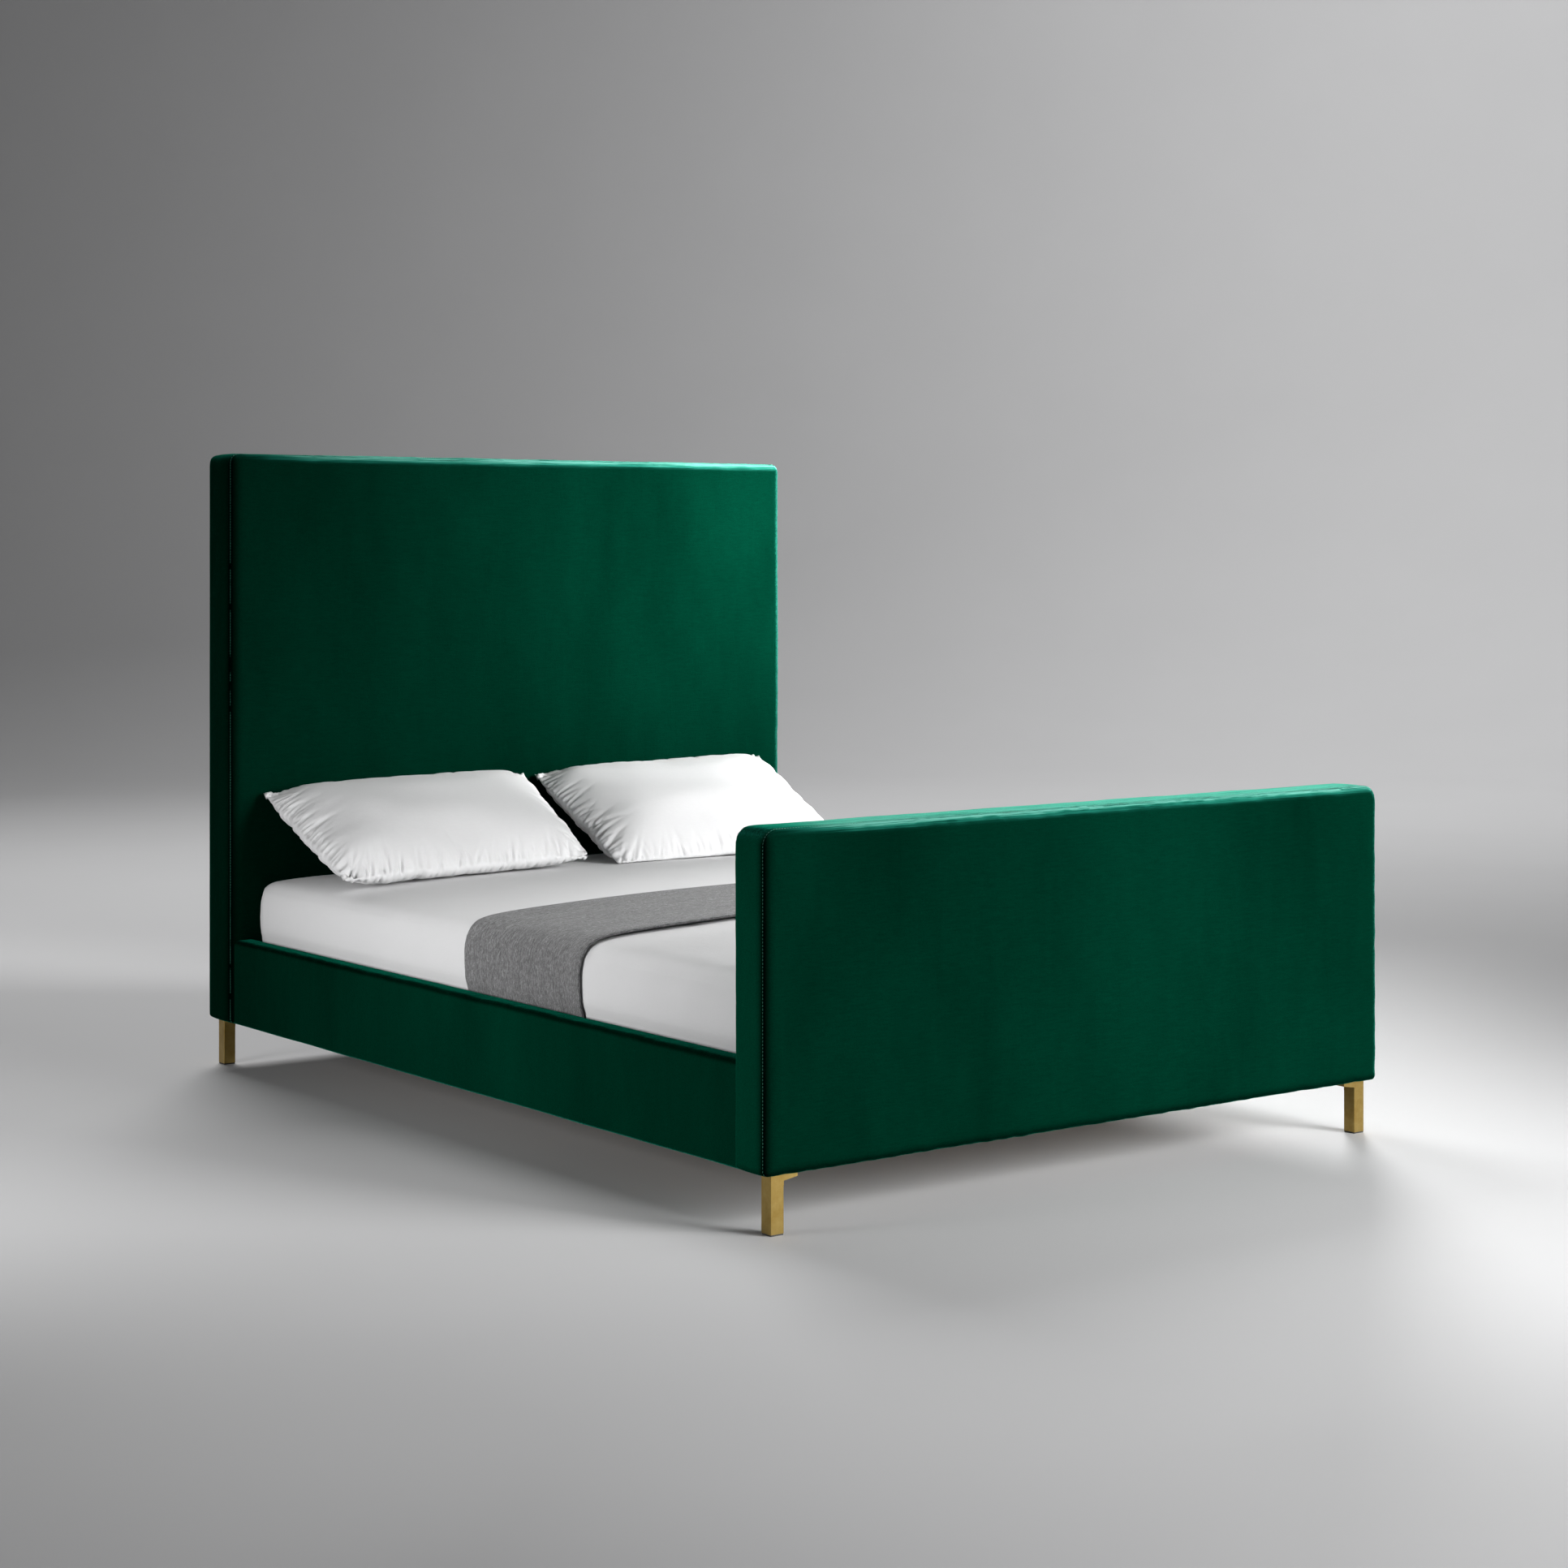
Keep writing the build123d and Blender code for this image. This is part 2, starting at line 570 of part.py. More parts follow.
def leg_bracket():
    """The cast top of a corner leg, about the leg's own axis: its tab reaches towards -X."""
    half = LEG_SIZE / 2
    neck_bottom = UNDERSIDE - LEG_BRACKET_HEIGHT
    profile = Polyline(
        (half, UNDERSIDE),
        (-half - LEG_TAB_REACH, UNDERSIDE),
        (-half - LEG_TAB_REACH, UNDERSIDE - LEG_TAB_TIP),
        (-half, UNDERSIDE - LEG_TAB_ROOT),
        (-half, neck_bottom),
        (half, neck_bottom),
        close=True,
    )
    casting = along_y(make_face(profile), -half, half)
    upright = casting.edges().filter_by(Axis.Z).sort_by(Axis.X)[-2:]
    casting = fillet(upright, LEG_EDGE_RADIUS)
    spigot = half - LEG_WALL - LEG_SPIGOT_GAP
    spigot_z = (neck_bottom - LEG_SPIGOT_LENGTH, neck_bottom)
    casting += block((-spigot, spigot), (-spigot, spigot), spigot_z)
    seat_z = UNDERSIDE - LEG_SCREW_SEAT
    for spread in (-LEG_SCREW_SPREAD, LEG_SCREW_SPREAD):
        seat = (-half - LEG_TAB_REACH / 2, spread, seat_z)
        casting -= rod(seat, (0, 0, -1), SCREW_HEAD_RADIUS + COUNTERBORE_CLEARANCE, LEG_SCREW_SEAT)
    return casting


def make_corner_legs(screws):
    tube_top = UNDERSIDE - LEG_BRACKET_HEIGHT
    tube = square_tube(LEG_SIZE, LEG_WALL, (GLIDE_THICKNESS, tube_top), LEG_EDGE_RADIUS)
    half = LEG_SIZE / 2 - GLIDE_INSET
    plug = LEG_SIZE / 2 - LEG_WALL - LEG_SPIGOT_GAP
    glide = block((-half, half), (-half, half), (0, GLIDE_THICKNESS))
    glide = fillet(glide.edges().filter_by(Axis.Z), LEG_EDGE_RADIUS)
    glide += block((-plug, plug), (-plug, plug), (GLIDE_THICKNESS, GLIDE_THICKNESS + GLIDE_PLUG))
    casting = leg_bracket()
    castings = []
    glides = []
    for end_name, leg_y in (("front", FOOT_LEG_Y), ("back", HEAD_LEG_Y)):
        for side_name, side in SIDES.items():
            place = Pos(side * LEG_X, leg_y, 0)
            handed = casting if side > 0 else mirror(casting, about=Plane.YZ)
            save(f"leg_{end_name}_{side_name}", place * tube)
            castings.append(cut(place * handed, screws))
            glides.append(place * glide)
    save("leg_brackets", Compound(children=castings))
    save("leg_glides", Compound(children=glides))


# Bedding


def crowned_section(half, bottom, top, rise, corner, grow):
    """Flat sides, rounded upper corners and a shallow crown, all moved outwards by grow."""
    crown_radius = (half**2 + rise**2) / (2 * rise)
    crown_centre = top - crown_radius
    corner_x = half - corner
    corner_z = crown_centre + math.sqrt((crown_radius - corner) ** 2 - corner_x**2)
    turn = math.atan2(corner_z - crown_centre, corner_x)
    side = half + grow
    radius = corner + grow
    middle = (corner_x + radius * math.cos(turn / 2), corner_z + radius * math.sin(turn / 2))
    crown_end = (corner_x + radius * math.cos(turn), corner_z + radius * math.sin(turn))
    crown_end_left = (-crown_end[0], crown_end[1])
    outline = [
        Line((-side, bottom), (side, bottom)),
        Line((side, bottom), (side, corner_z)),
        ThreePointArc((side, corner_z), middle, crown_end),
        ThreePointArc(crown_end, (0, top + grow), crown_end_left),
        ThreePointArc(crown_end_left, (-middle[0], middle[1]), (-side, corner_z)),
        Line((-side, corner_z), (-side, bottom)),
    ]
    return make_face(Curve() + outline)


def bed_section(grow, bottom):
    """The dressed mattress across the bed."""
    return crowned_section(
        MATTRESS_WIDTH / 2, bottom, MATTRESS_TOP, MATTRESS_RISE, MATTRESS_EDGE, grow
    )


def mattress_form(grow):
    """The mattress with its rounded ends and corners, moved outwards by grow."""
    half_length = MATTRESS_LENGTH / 2 + grow
    half_width = MATTRESS_WIDTH / 2 + grow
    bottom = MATTRESS_BOTTOM - grow
    across = along_y(bed_section(grow, bottom), MATTRESS_Y - half_length, MATTRESS_Y + half_length)
    end_top = MATTRESS_TOP + 1 + grow
    side_view = Pos(MATTRESS_Y, (bottom + end_top) / 2) * Rectangle(2 * half_length, end_top - bottom)
    side_view = fillet(side_view.vertices().group_by(Axis.Y)[-1], MATTRESS_END_EDGE + grow)
    lengthwise = along_x(side_view, -half_width, half_width)
    plan = RectangleRounded(2 * half_width, 2 * half_length, MATTRESS_CORNER + grow)
    upright = Pos(0, MATTRESS_Y, bottom) * extrude(plan, amount=end_top - bottom)
    return across & lengthwise & upright


def make_bedding():
    mattress = mattress_form(0)
    dressed = mattress_form(SHEET)
    window_x = MATTRESS_WIDTH / 2 - SHEET_HEM
    window_y = MATTRESS_LENGTH / 2 - SHEET_HEM
    window = block(
        (-window_x, window_x),
        (MATTRESS_Y - window_y, MATTRESS_Y + window_y),
        (MATTRESS_BOTTOM - 2 * SHEET, MATTRESS_BOTTOM),
    )
    save("mattress", mattress)
    save("fitted_sheet", cut(dressed, [mattress, window]))
    outside = along_y(bed_section(SHEET + THROW, THROW_TUCK_BOTTOM), THROW_FRONT_Y, THROW_BACK_Y)
    inside = along_y(bed_section(SHEET, MATTRESS_BOTTOM), THROW_FRONT_Y, THROW_BACK_Y)
    save("throw", cut(outside, [inside]))


def pillow_section(half, thickness):
    """A pillow's lens section, blunt at its two seams."""
    edge = PILLOW_EDGE / 2
    outline = [
        ThreePointArc((-half, -edge), (0, -thickness / 2), (half, -edge)),
        Line((half, -edge), (half, edge)),
        ThreePointArc((half, edge), (0, thickness / 2), (-half, edge)),
        Line((-half, edge), (-half, -edge)),
    ]
    return make_face(Curve() + outline)


def make_pillows():
    """Each pillow leans back on the headboard and is flat where it rests on the bed."""
    half_width = PILLOW_WIDTH / 2
    half_length = PILLOW_LENGTH / 2
    lengthwise = along_x(pillow_section(half_length, PILLOW_THICKNESS), -half_width, half_width)
    cross_thickness = PILLOW_THICKNESS + PILLOW_CROSS_FULLNESS
    across = along_y(pillow_section(half_width, cross_thickness), -half_length, half_length)
    pillow = Pos(0, half_length, 0) * (lengthwise & across)
    pillow = Pos(0, PILLOW_FRONT_Y, PILLOW_FRONT_Z) * (Rot(PILLOW_TILT, 0, 0) * pillow)
    bed_top = along_y(bed_section(SHEET + BODY_GAP, SLAT_TOP), 0, HEAD_FRONT)
    for name, side in SIDES.items():
        save(f"pillow_{name}", cut(Pos(side * PILLOW_X, 0, 0) * pillow, [bed_top]))


def main():
    os.makedirs("parts", exist_ok=True)
    bolts = corner_bolts()
    legs = leg_screws()
    ledges = ledge_screws()
    hangers = hanger_screws()
    centre = centre_leg_screws()
    save("corner_bolts", Compound(children=bolts))
    save("frame_screws", Compound(children=legs + ledges + hangers + centre))
    make_headboard(bolts, legs + hangers)
    make_footboard(bolts, legs + hangers)
    make_side_rails(bolts, ledges)
    make_slats()
    make_corner_brackets(bolts)
    make_beam(hangers + centre)
    make_centre_legs(centre)
    make_corner_legs(legs)
    make_bedding()
    make_pillows()


main()
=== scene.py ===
"""Looks of the upholstered bed: velvet boards and rails, dressed mattress, pillows, throw and hardware.

Every size is in metres in the frame's own axes: +X right seen from the foot, +Y to the head, +Z up.
"""

import math
from types import SimpleNamespace

import bpy
import numpy as np
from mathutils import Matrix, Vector


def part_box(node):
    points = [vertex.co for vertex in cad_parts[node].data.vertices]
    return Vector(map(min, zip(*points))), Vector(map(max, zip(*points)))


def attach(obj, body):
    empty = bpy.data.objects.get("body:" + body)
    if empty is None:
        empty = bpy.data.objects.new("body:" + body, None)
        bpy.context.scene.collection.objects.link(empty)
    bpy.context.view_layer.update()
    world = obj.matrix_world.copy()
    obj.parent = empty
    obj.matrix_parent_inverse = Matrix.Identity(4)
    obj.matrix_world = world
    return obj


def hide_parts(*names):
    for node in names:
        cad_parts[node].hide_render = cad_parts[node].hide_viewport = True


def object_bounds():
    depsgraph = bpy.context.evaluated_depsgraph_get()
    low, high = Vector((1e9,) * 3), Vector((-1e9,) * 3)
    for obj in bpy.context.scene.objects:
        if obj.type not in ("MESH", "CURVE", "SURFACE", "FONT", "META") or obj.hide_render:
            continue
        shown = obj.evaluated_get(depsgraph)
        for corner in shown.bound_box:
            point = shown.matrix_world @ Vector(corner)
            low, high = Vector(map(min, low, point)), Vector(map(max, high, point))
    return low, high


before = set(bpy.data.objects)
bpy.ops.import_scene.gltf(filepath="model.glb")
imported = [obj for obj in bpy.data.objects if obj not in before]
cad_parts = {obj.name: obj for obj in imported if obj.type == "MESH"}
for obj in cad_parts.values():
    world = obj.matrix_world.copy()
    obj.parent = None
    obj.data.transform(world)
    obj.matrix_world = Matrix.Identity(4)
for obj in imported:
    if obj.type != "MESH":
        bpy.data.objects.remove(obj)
CAD_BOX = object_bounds()

# Camera, which stands before the front left corner and looks level
CAMERA_PLACE = (-4.035, -5.461, 1.277)
CAMERA_TURN = -36.98
CAMERA_LENS = 67.55
CAMERA_SHIFT = -0.154

# The two velvet boards. crown is how far the front's middle stands before the seam, corner the upper
# corners' radius and edge how far the front falls back to the seam. shade is the reach of the painted shade
# along the upright seams, band the painted lighting of the band's left side and painted_lighting_at_ends
# the painted lighting at the left and right ends. back is how panel_surface closes the back, after loops at
# back_insets. The values in pairs below are for the left and the right.
HEADBOARD = SimpleNamespace(
    name="headboard", crown=0.020, corner=0.022, edge=0.018, shade=0.017, band=0.80,
    painted_lighting_at_ends=(0.74, 1.10), back="flat", back_insets=(0.016, 0.028, 0.045), seed=11,
)
FOOTBOARD = SimpleNamespace(
    name="footboard", crown=0.013, corner=0.032, edge=0.0115, shade=0.012, band=2.70,
    painted_lighting_at_ends=(1.05, 1.12), back="grid", back_insets=(0.014, 0.024, 0.040), seed=21,
)
LOWER_CORNER = 0.010
BACK_EDGE = 0.008
EDGE_RUN = 0.028
BOARD_CELL = 0.010
BOARD_MARGIN = 0.060
CORNER_RUN = 0.120
SEAM_DEPTH = 0.0042
SEAM_HALF_WIDTH = 0.0012
# Painted shade in the upright seams, at the left and at the right
PAINTED_SEAM_SHADE = (0.92, 0.40)
BAND_BULGE = 0.0012
# The painted highlight's share at the boards' left end and on their right rims, the painted shade on faces
# that turn down, and the range of the stored painted lighting
LEFT_END_PAINTED_HIGHLIGHT = 0.12
RIGHT_RIM_PAINTED_HIGHLIGHT = 0.30
UNDER_PAINTED_SHADE = 0.25
PAINTED_SHADING_RANGE = 3.0
STITCH_PITCH = 0.0065
STITCH_LENGTH = 0.0042
STITCH_RADIUS = 0.00065
STITCH_BEHIND = 0.0016

# Velvet side rails: painted lighting from foot to head, their painted highlight where they turn up, and how
# far the velvet tucks in under the footboard's
RAIL_STEP = 0.012
RAIL_TUCK = 0.010
RAIL_PAINTED_LIGHTING = (2.00, 0.95)
RAIL_PAINTED_HIGHLIGHT = 0.35
RAIL_OUTER_ROUND = 0.014
RAIL_INNER_ROUND = 0.008
RAIL_LOWER_ROUND = 0.004
ARC_STEP = 0.003

# Dressed mattress, in the box of the CAD's sheet
SHEET_LOW, SHEET_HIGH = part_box("fitted_sheet")
SHEET_HALF_WIDTH = SHEET_HIGH.x
SHEET_TOP = SHEET_HIGH.z
SHEET_BOTTOM = SHEET_LOW.z
RAIL_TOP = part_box("side_rail_left_cover")[1].z
SHEET_CORNER = 0.032
SHEET_EDGE = 0.058
SHEET_CELL = 0.018
SHEET_MARGIN = 0.110
SHEET_THICK = 0.0012
SHEET_SIDE_BULGE = 0.0070
HEM_WIDTH = 0.070
HEM_ROUND = 0.012
TICKING_INSET = 0.0045
TICKING_BORDER = 0.10

# Throw: it lies on the sheet with a small gap, and its foot edge is rolled and turned back under it
THROW_THICK = 0.0024
THROW_STEP = 0.008
THROW_GAP = 0.0012
THROW_UNDER_GAP = 0.0008
THROW_ROLL = 0.0040
THROW_ROLL_RISE = THROW_THICK + 0.0032
THROW_TURN_BACK = 0.040
THROW_TUCK = 0.018

# Pillows: flat size of the two sewn panels, their filling, and the shape of the filled section
PILLOW_LENGTH = 0.762
PILLOW_WIDTH = 0.508
PILLOW_CELL = 0.0072
PILLOW_FRAMES = 22
PILLOW_SMOOTHING = 45
PILLOW_LOFT = 0.155
PILLOW_CENTRE_RISE = 0.101
PILLOW_SHARE = 0.96
PILLOW_GAP = 0.0010
UPPER_SHARE = 0.56
UPPER_FULLNESS = 0.62
LOWER_FULLNESS = 0.40
SIDE_PULL = 0.004
EAR_REACH = 0.060
EAR_SQUASH = 0.70
KNOT_HEIGHT = 0.0085
KNOT_INSET = 0.015
KNOT_WIDTH = 0.009
CREASE_PITCH = 0.012
CREASE_REACH = (0.012, 0.034)
CREASE_LONGER = 0.050
CREASE_DEPTH = (0.0014, 0.0062)
CREASE_WIDTH = (0.0032, 0.0056)
HEADBOARD_CLEARANCE = 0.006

# How each pillow lies: shift to the right of its CAD solid, sideways skew, lean and roll in degrees, and
# how much wider it is at its top
PILLOWS = (
    SimpleNamespace(
        name="left_pillow", node="pillow_left", seed=101, pressure=4.5,
        shift=-0.033, skew=0.10, lean=21.0, roll=-1.2, taper=0.094,
    ),
    SimpleNamespace(
        name="right_pillow", node="pillow_right", seed=137, pressure=4.95,
        shift=-0.023, skew=0.085, lean=23.5, roll=-1.5, taper=0.030,
    ),
)

# Dust cloth, slat straps and their staples
DUST_CLOTH_CELL = 0.030
DUST_CLOTH_THICK = 0.0004
STAPLE_PITCH = 0.038
STAPLE_CORNER = 0.020
STAPLE_INSET = 0.009
STAPLE_WIDTH = 0.010
STAPLE_WIRE = 0.0006
STRAP_WIDTH = 0.030
STRAP_THICK = 0.0012
STRAP_STEP = 0.006
STRAP_SAG = 0.0035
STRAP_STAPLE_OFFSET = 0.007

# Colours, and the velvet's painted highlight, where the mesh stores one and on rims seen at a slant
VELVET_GREEN = ((0.32, (0.0001, 0.0108, 0.0055)), (0.68, (0.0002, 0.0188, 0.0098)))
VELVET_PAINTED_HIGHLIGHT = ((0.0, (0.0002, 0.017, 0.009)), (0.4, (0.010, 0.125, 0.088)), (1.0, (0.120, 0.370, 0.300)))
VELVET_SHEEN = (0.012, 0.75, 0.44)
VELVET_PAINTED_RIM = 0.22
VELVET_PAINTED_RIM_POWER = 5.0
THROW_GREYS = ((0.36, (0.045, 0.045, 0.047)), (0.50, (0.165, 0.165, 0.168)), (0.64, (0.48, 0.48, 0.485)))
FRAME_TIMBER = ((0.60, 0.44, 0.26), (0.40, 0.26, 0.13))

# The finish of the CAD nodes that stay: the first row with a word that is in the node's name
CAD_LOOKS = (
    ("plywood", ("face_board", "inner_board")),
    ("timber_z", ("stile",)),
    ("timber_y", ("side_rail", "centre_beam")),
    ("timber_x", ("_rail",)),
    ("black_steel", ("slat_ledge", "corner_bracket", "beam_hangers", "centre_leg")),
    ("slat_timber", ("slat_",)),
    ("black_plastic", ("leveller", "leg_glides")),
    ("zinc_steel", ("corner_bolts", "frame_screws")),
    ("brass", ("leg_",)),
)

# Studio. A softbox's row is its name, place, aim, size, power and spread in degrees.
STAGE_FLAT = 9.0
STAGE_CURVE = 5.0
STAGE_HEIGHT = 9.0
STAGE_SIDES = 96
SOFTBOXES = (
    ("key", (2.6, -0.9, 1.6), (0.80, 1.0, 1.38), 0.8, 29, 40),
    ("edge", (4.5, 3.0, 1.9), (0.45, -1.1, 0.75), 1.5, 20, 35),
    ("top", (0.9, 5.2, 6.4), (CAD_BOX[0] + CAD_BOX[1]) / 2, 3.7, 440, 180),
    ("front", (1.6, -4.6, 1.7), (0.2, -1.1, 0.25), 2.2, 62, 66),
    ("front_low", (1.6, -3.5, 0.36), (0.1, -1.15, 0.38), 0.62, 3, 120),
    ("left", (-3.6, 0.0, 0.85), (-0.8, 0.08, 0.42), 1.2, 13, 76),
    ("floor", (-0.9, -6.0, 3.0), (-1.3, -2.9, 0.0), 1.2, 6, 34),
    ("background", (7.0, 4.0, 7.0), (10.5, 6.5, 1.5), 4.0, 500, 180),
)
SKY_COLOR = (0.66, 0.66, 0.67, 1.0)
SKY_STRENGTH = 0.03


# --- Mesh tools ---


def make_mesh(name, points, faces, material):
    """A smooth mesh object from points and faces, in place, with one material."""
    mesh = bpy.data.meshes.new(name)
    mesh.from_pydata([tuple(map(float, p)) for p in points], [], [tuple(map(int, f)) for f in faces])
    mesh.validate()
    mesh.materials.append(material)
    mesh.shade_smooth()
    piece = bpy.data.objects.new(name, mesh)
    bpy.context.scene.collection.objects.link(piece)
    return piece


def read_vectors(rows, field):
    """One vector of each row of a mesh's data, as an array with three columns."""
    values = np.empty(len(rows) * 3, np.float32)
    rows.foreach_get(field, values)
    return values.reshape(-1, 3).astype(float)


def read_points(piece):
    """The mesh's points."""
    return read_vectors(piece.data.vertices, "co")


def read_normals(piece):
    """The mesh's normals at its points."""
    return read_vectors(piece.data.vertex_normals, "vector")


def set_points(piece, points):
    """Moves the mesh's points to the rows of an array."""
    piece.data.vertices.foreach_set("co", np.asarray(points, float).ravel())
    piece.data.update()


def push_out(piece, distances):
    """Moves each point of a mesh along its own normal."""
    set_points(piece, read_points(piece) + read_normals(piece) * np.asarray(distances)[:, None])


def store(piece, name, values):
    """Stores a number or a vector on each point of a mesh."""
    values = np.asarray(values, np.float32)
    kind, field = ("FLOAT", "value") if values.ndim == 1 else ("FLOAT_VECTOR", "vector")
    piece.data.attributes.new(name, kind, "POINT").data.foreach_set(field, values.ravel())


def apply_modifiers(piece):
    """Replaces a piece's mesh with the result of its modifiers."""
    graph = bpy.context.evaluated_depsgraph_get()
    made = bpy.data.meshes.new_from_object(piece.evaluated_get(graph))
    piece.modifiers.clear()
    piece.data = made


def modify(piece, kind, **settings):
    """Adds one modifier with its settings, and applies it."""
    modifier = piece.modifiers.new(kind.lower(), kind)
    for name, value in settings.items():
        setattr(modifier, name, value)
    apply_modifiers(piece)


def thicken(piece, thickness):
    """Makes an open surface a closed thin solid, which grows inwards from it."""
    modify(piece, "SOLIDIFY", thickness=thickness, offset=-1.0)


def ripples(points, height, wavelength, seed, stretch=(1.0, 1.0, 1.0)):
    """A smooth random field over points, mostly within the height, with bumps a wavelength apart."""
    waves = 9
    draws = np.random.default_rng(seed)
    directions = draws.normal(size=(waves, 3))
    directions /= np.linalg.norm(directions, axis=1)[:, None]
    turns = 2 * math.pi / (wavelength * draws.uniform(0.6, 1.5, waves))
    phases = draws.uniform(0, 2 * math.pi, waves)
    places = np.asarray(points) / np.asarray(stretch)
    waved = np.sin(places @ (directions * turns[:, None]).T + phases).sum(1)
    return height * (waved / math.sqrt(waves) * 0.8)


def line_ripples(places, height, wavelength, seed):
    """A smooth random field along one line, mostly within the height."""
    waves = 8
    draws = np.random.default_rng(seed)
    turns = 2 * math.pi / (wavelength * draws.uniform(0.55, 1.8, waves))
    phases = draws.uniform(0, 2 * math.pi, waves)
    return height * (np.sin(np.outer(places, turns) + phases).sum(1) / math.sqrt(waves) * 0.8)


def fade(values, start, end):
    """0 before start and 1 after end, with a smooth turn between them."""
    share = np.clip((np.asarray(values, float) - start) / (end - start), 0, 1)
    return share * share * (3 - 2 * share)


def near(distance, reach):
    """1 at no distance and near 0 past the reach, as a bell."""
    return np.exp(-((distance / reach) ** 2))


def above_zero(values, softness):
    """values kept above 0, with a smooth turn over about the softness."""
    return softness * np.logaddexp(0, values / softness)


def rotation(axis, degrees):
    """A rotation matrix about the X or Y axis."""
    c, s = math.cos(math.radians(degrees)), math.sin(math.radians(degrees))
    matrices = {"X": ((1, 0, 0), (0, c, -s), (0, s, c)), "Y": ((c, 0, s), (0, 1, 0), (-s, 0, c))}
    return np.array(matrices[axis])


# --- Panels and outlines ---


def grid_faces(columns, rows, first=0, flip=False):
    """Faces of a grid of points that are stored row by row, each row one point longer than its columns."""
    faces = []
    for row in range(rows):
        for column in range(columns):
            corner = first + row * (columns + 1) + column
            above = corner + columns + 1
            middle = (above, above + 1, corner + 1) if flip else (corner + 1, above + 1, above)
            faces.append((corner, *middle))
    return faces


def bridge(inner, outer):
    """Faces between two closed loops of the same length."""
    count = len(inner)
    return [(inner[i], outer[i], outer[(i + 1) % count], inner[(i + 1) % count]) for i in range(count)]


def inset_corners(rectangle, insets):
    """A rectangle's corners, anticlockwise from the low one, each moved inwards by its inset."""
    low_a, low_b, high_a, high_b = rectangle
    first, second, third, fourth = insets
    return [
        Vector((low_a + first, low_b + first)),
        Vector((high_a - second, low_b + second)),
        Vector((high_a - third, high_b - third)),
        Vector((low_a + fourth, high_b - fourth)),
    ]


def loop_points(rectangle, margin, inset, corners, cells):
    """Points of the loop that lies inset inside a rectangle with round corners.

    The corners' radii run anticlockwise from the low corner. Each point belongs to one border point of
    the inner grid, which lies margin inside the rectangle. Near a corner the points crowd together, more
    so towards the outline, to follow the arc.
    """
    inner = inset_corners(rectangle, (margin,) * 4)
    out = margin - inset
    points = []
    for side in range(4):
        start, end = inner[side], inner[(side + 1) % 4]
        length = (end - start).length
        along = (end - start) / length
        outward = Vector((along.y, -along.x))
        count = cells[side % 2]
        for index in range(count):
            gap = length * index / count
            near_start = gap <= length / 2
            arc = max(corners[side if near_start else (side + 1) % 4] - inset, 0.0)
            half_arc = arc * math.pi / 4
            origin = start if near_start else end
            inward = along if near_start else -along
            gap = gap if near_start else length - gap
            if gap >= CORNER_RUN:
                points.append(origin + inward * gap + outward * out)
                continue
            crowding = 1 + 0.5 * out / margin
            walked = (gap / CORNER_RUN) ** crowding * (half_arc + CORNER_RUN + out - arc)
            centre = origin + (outward - inward) * (out - arc)
            if walked < half_arc:
                turn = math.pi / 4 - walked / arc
                points.append(centre + (outward * math.cos(turn) - inward * math.sin(turn)) * arc)
            else:
                points.append(centre + outward * arc + inward * (walked - half_arc))
    return points


def border_cells(across, up):
    """The grid's border points as (column, row), in the order of loop_points."""
    low = [(i, 0) for i in range(across)]
    right = [(across, j) for j in range(up)]
    high = [(i, up) for i in range(across, 0, -1)]
    left = [(0, j) for j in range(up, 0, -1)]
    return low + right + high + left


def panel_surface(rectangle, corners, margin, cell, rows, back):
    """Points (a, b, depth) and faces of a padded panel.

    An inner grid at depth 0 is followed by rows of loops, each (inset, depth), and back says how the
    surface ends: "open", "flat" with one face, or "grid" with a second grid at the last row's depth.
    """
    low_a, low_b, high_a, high_b = rectangle
    across = round((high_a - low_a - 2 * margin) / cell)
    up = round((high_b - low_b - 2 * margin) / cell)
    columns = np.linspace(low_a + margin, high_a - margin, across + 1)
    lines = np.linspace(low_b + margin, high_b - margin, up + 1)

    def grid(depth):
        return [(a, b, depth) for b in lines for a in columns]

    def border(first):
        return [first + j * (across + 1) + i for i, j in border_cells(across, up)]

    points = grid(0.0)
    faces = grid_faces(across, up)
    before = border(0)
    for inset, depth in rows:
        first = len(points)
        points += [(p.x, p.y, depth) for p in loop_points(rectangle, margin, inset, corners, (across, up))]
        after = list(range(first, len(points)))
        faces += bridge(before, after)
        before = after
    if back == "flat":
        faces.append(tuple(reversed(before)))
    if back == "grid":
        first = len(points)
        points += grid(rows[-1][1])
        faces += bridge(before, border(first))
        faces += grid_faces(across, up, first, flip=True)
    return np.array(points), faces


def edge_gap(points, rectangle):
    """How far inside the rectangle each point (a, b) lies."""
    low_a, low_b, high_a, high_b = rectangle
    gap_a = np.minimum(points[:, 0] - low_a, high_a - points[:, 0])
    gap_b = np.minimum(points[:, 1] - low_b, high_b - points[:, 1])
    return np.minimum(gap_a, gap_b)


def dome(points, rectangle):
    """1 in the middle of the rectangle and 0 at its border, smooth all over."""
    low_a, low_b, high_a, high_b = rectangle
    share_a = np.abs(2 * points[:, 0] - low_a - high_a) / (high_a - low_a)
    share_b = np.abs(2 * points[:, 1] - low_b - high_b) / (high_b - low_b)
    return (1 - np.clip(share_a, 0, 1) ** 4) * (1 - np.clip(share_b, 0, 1) ** 4)


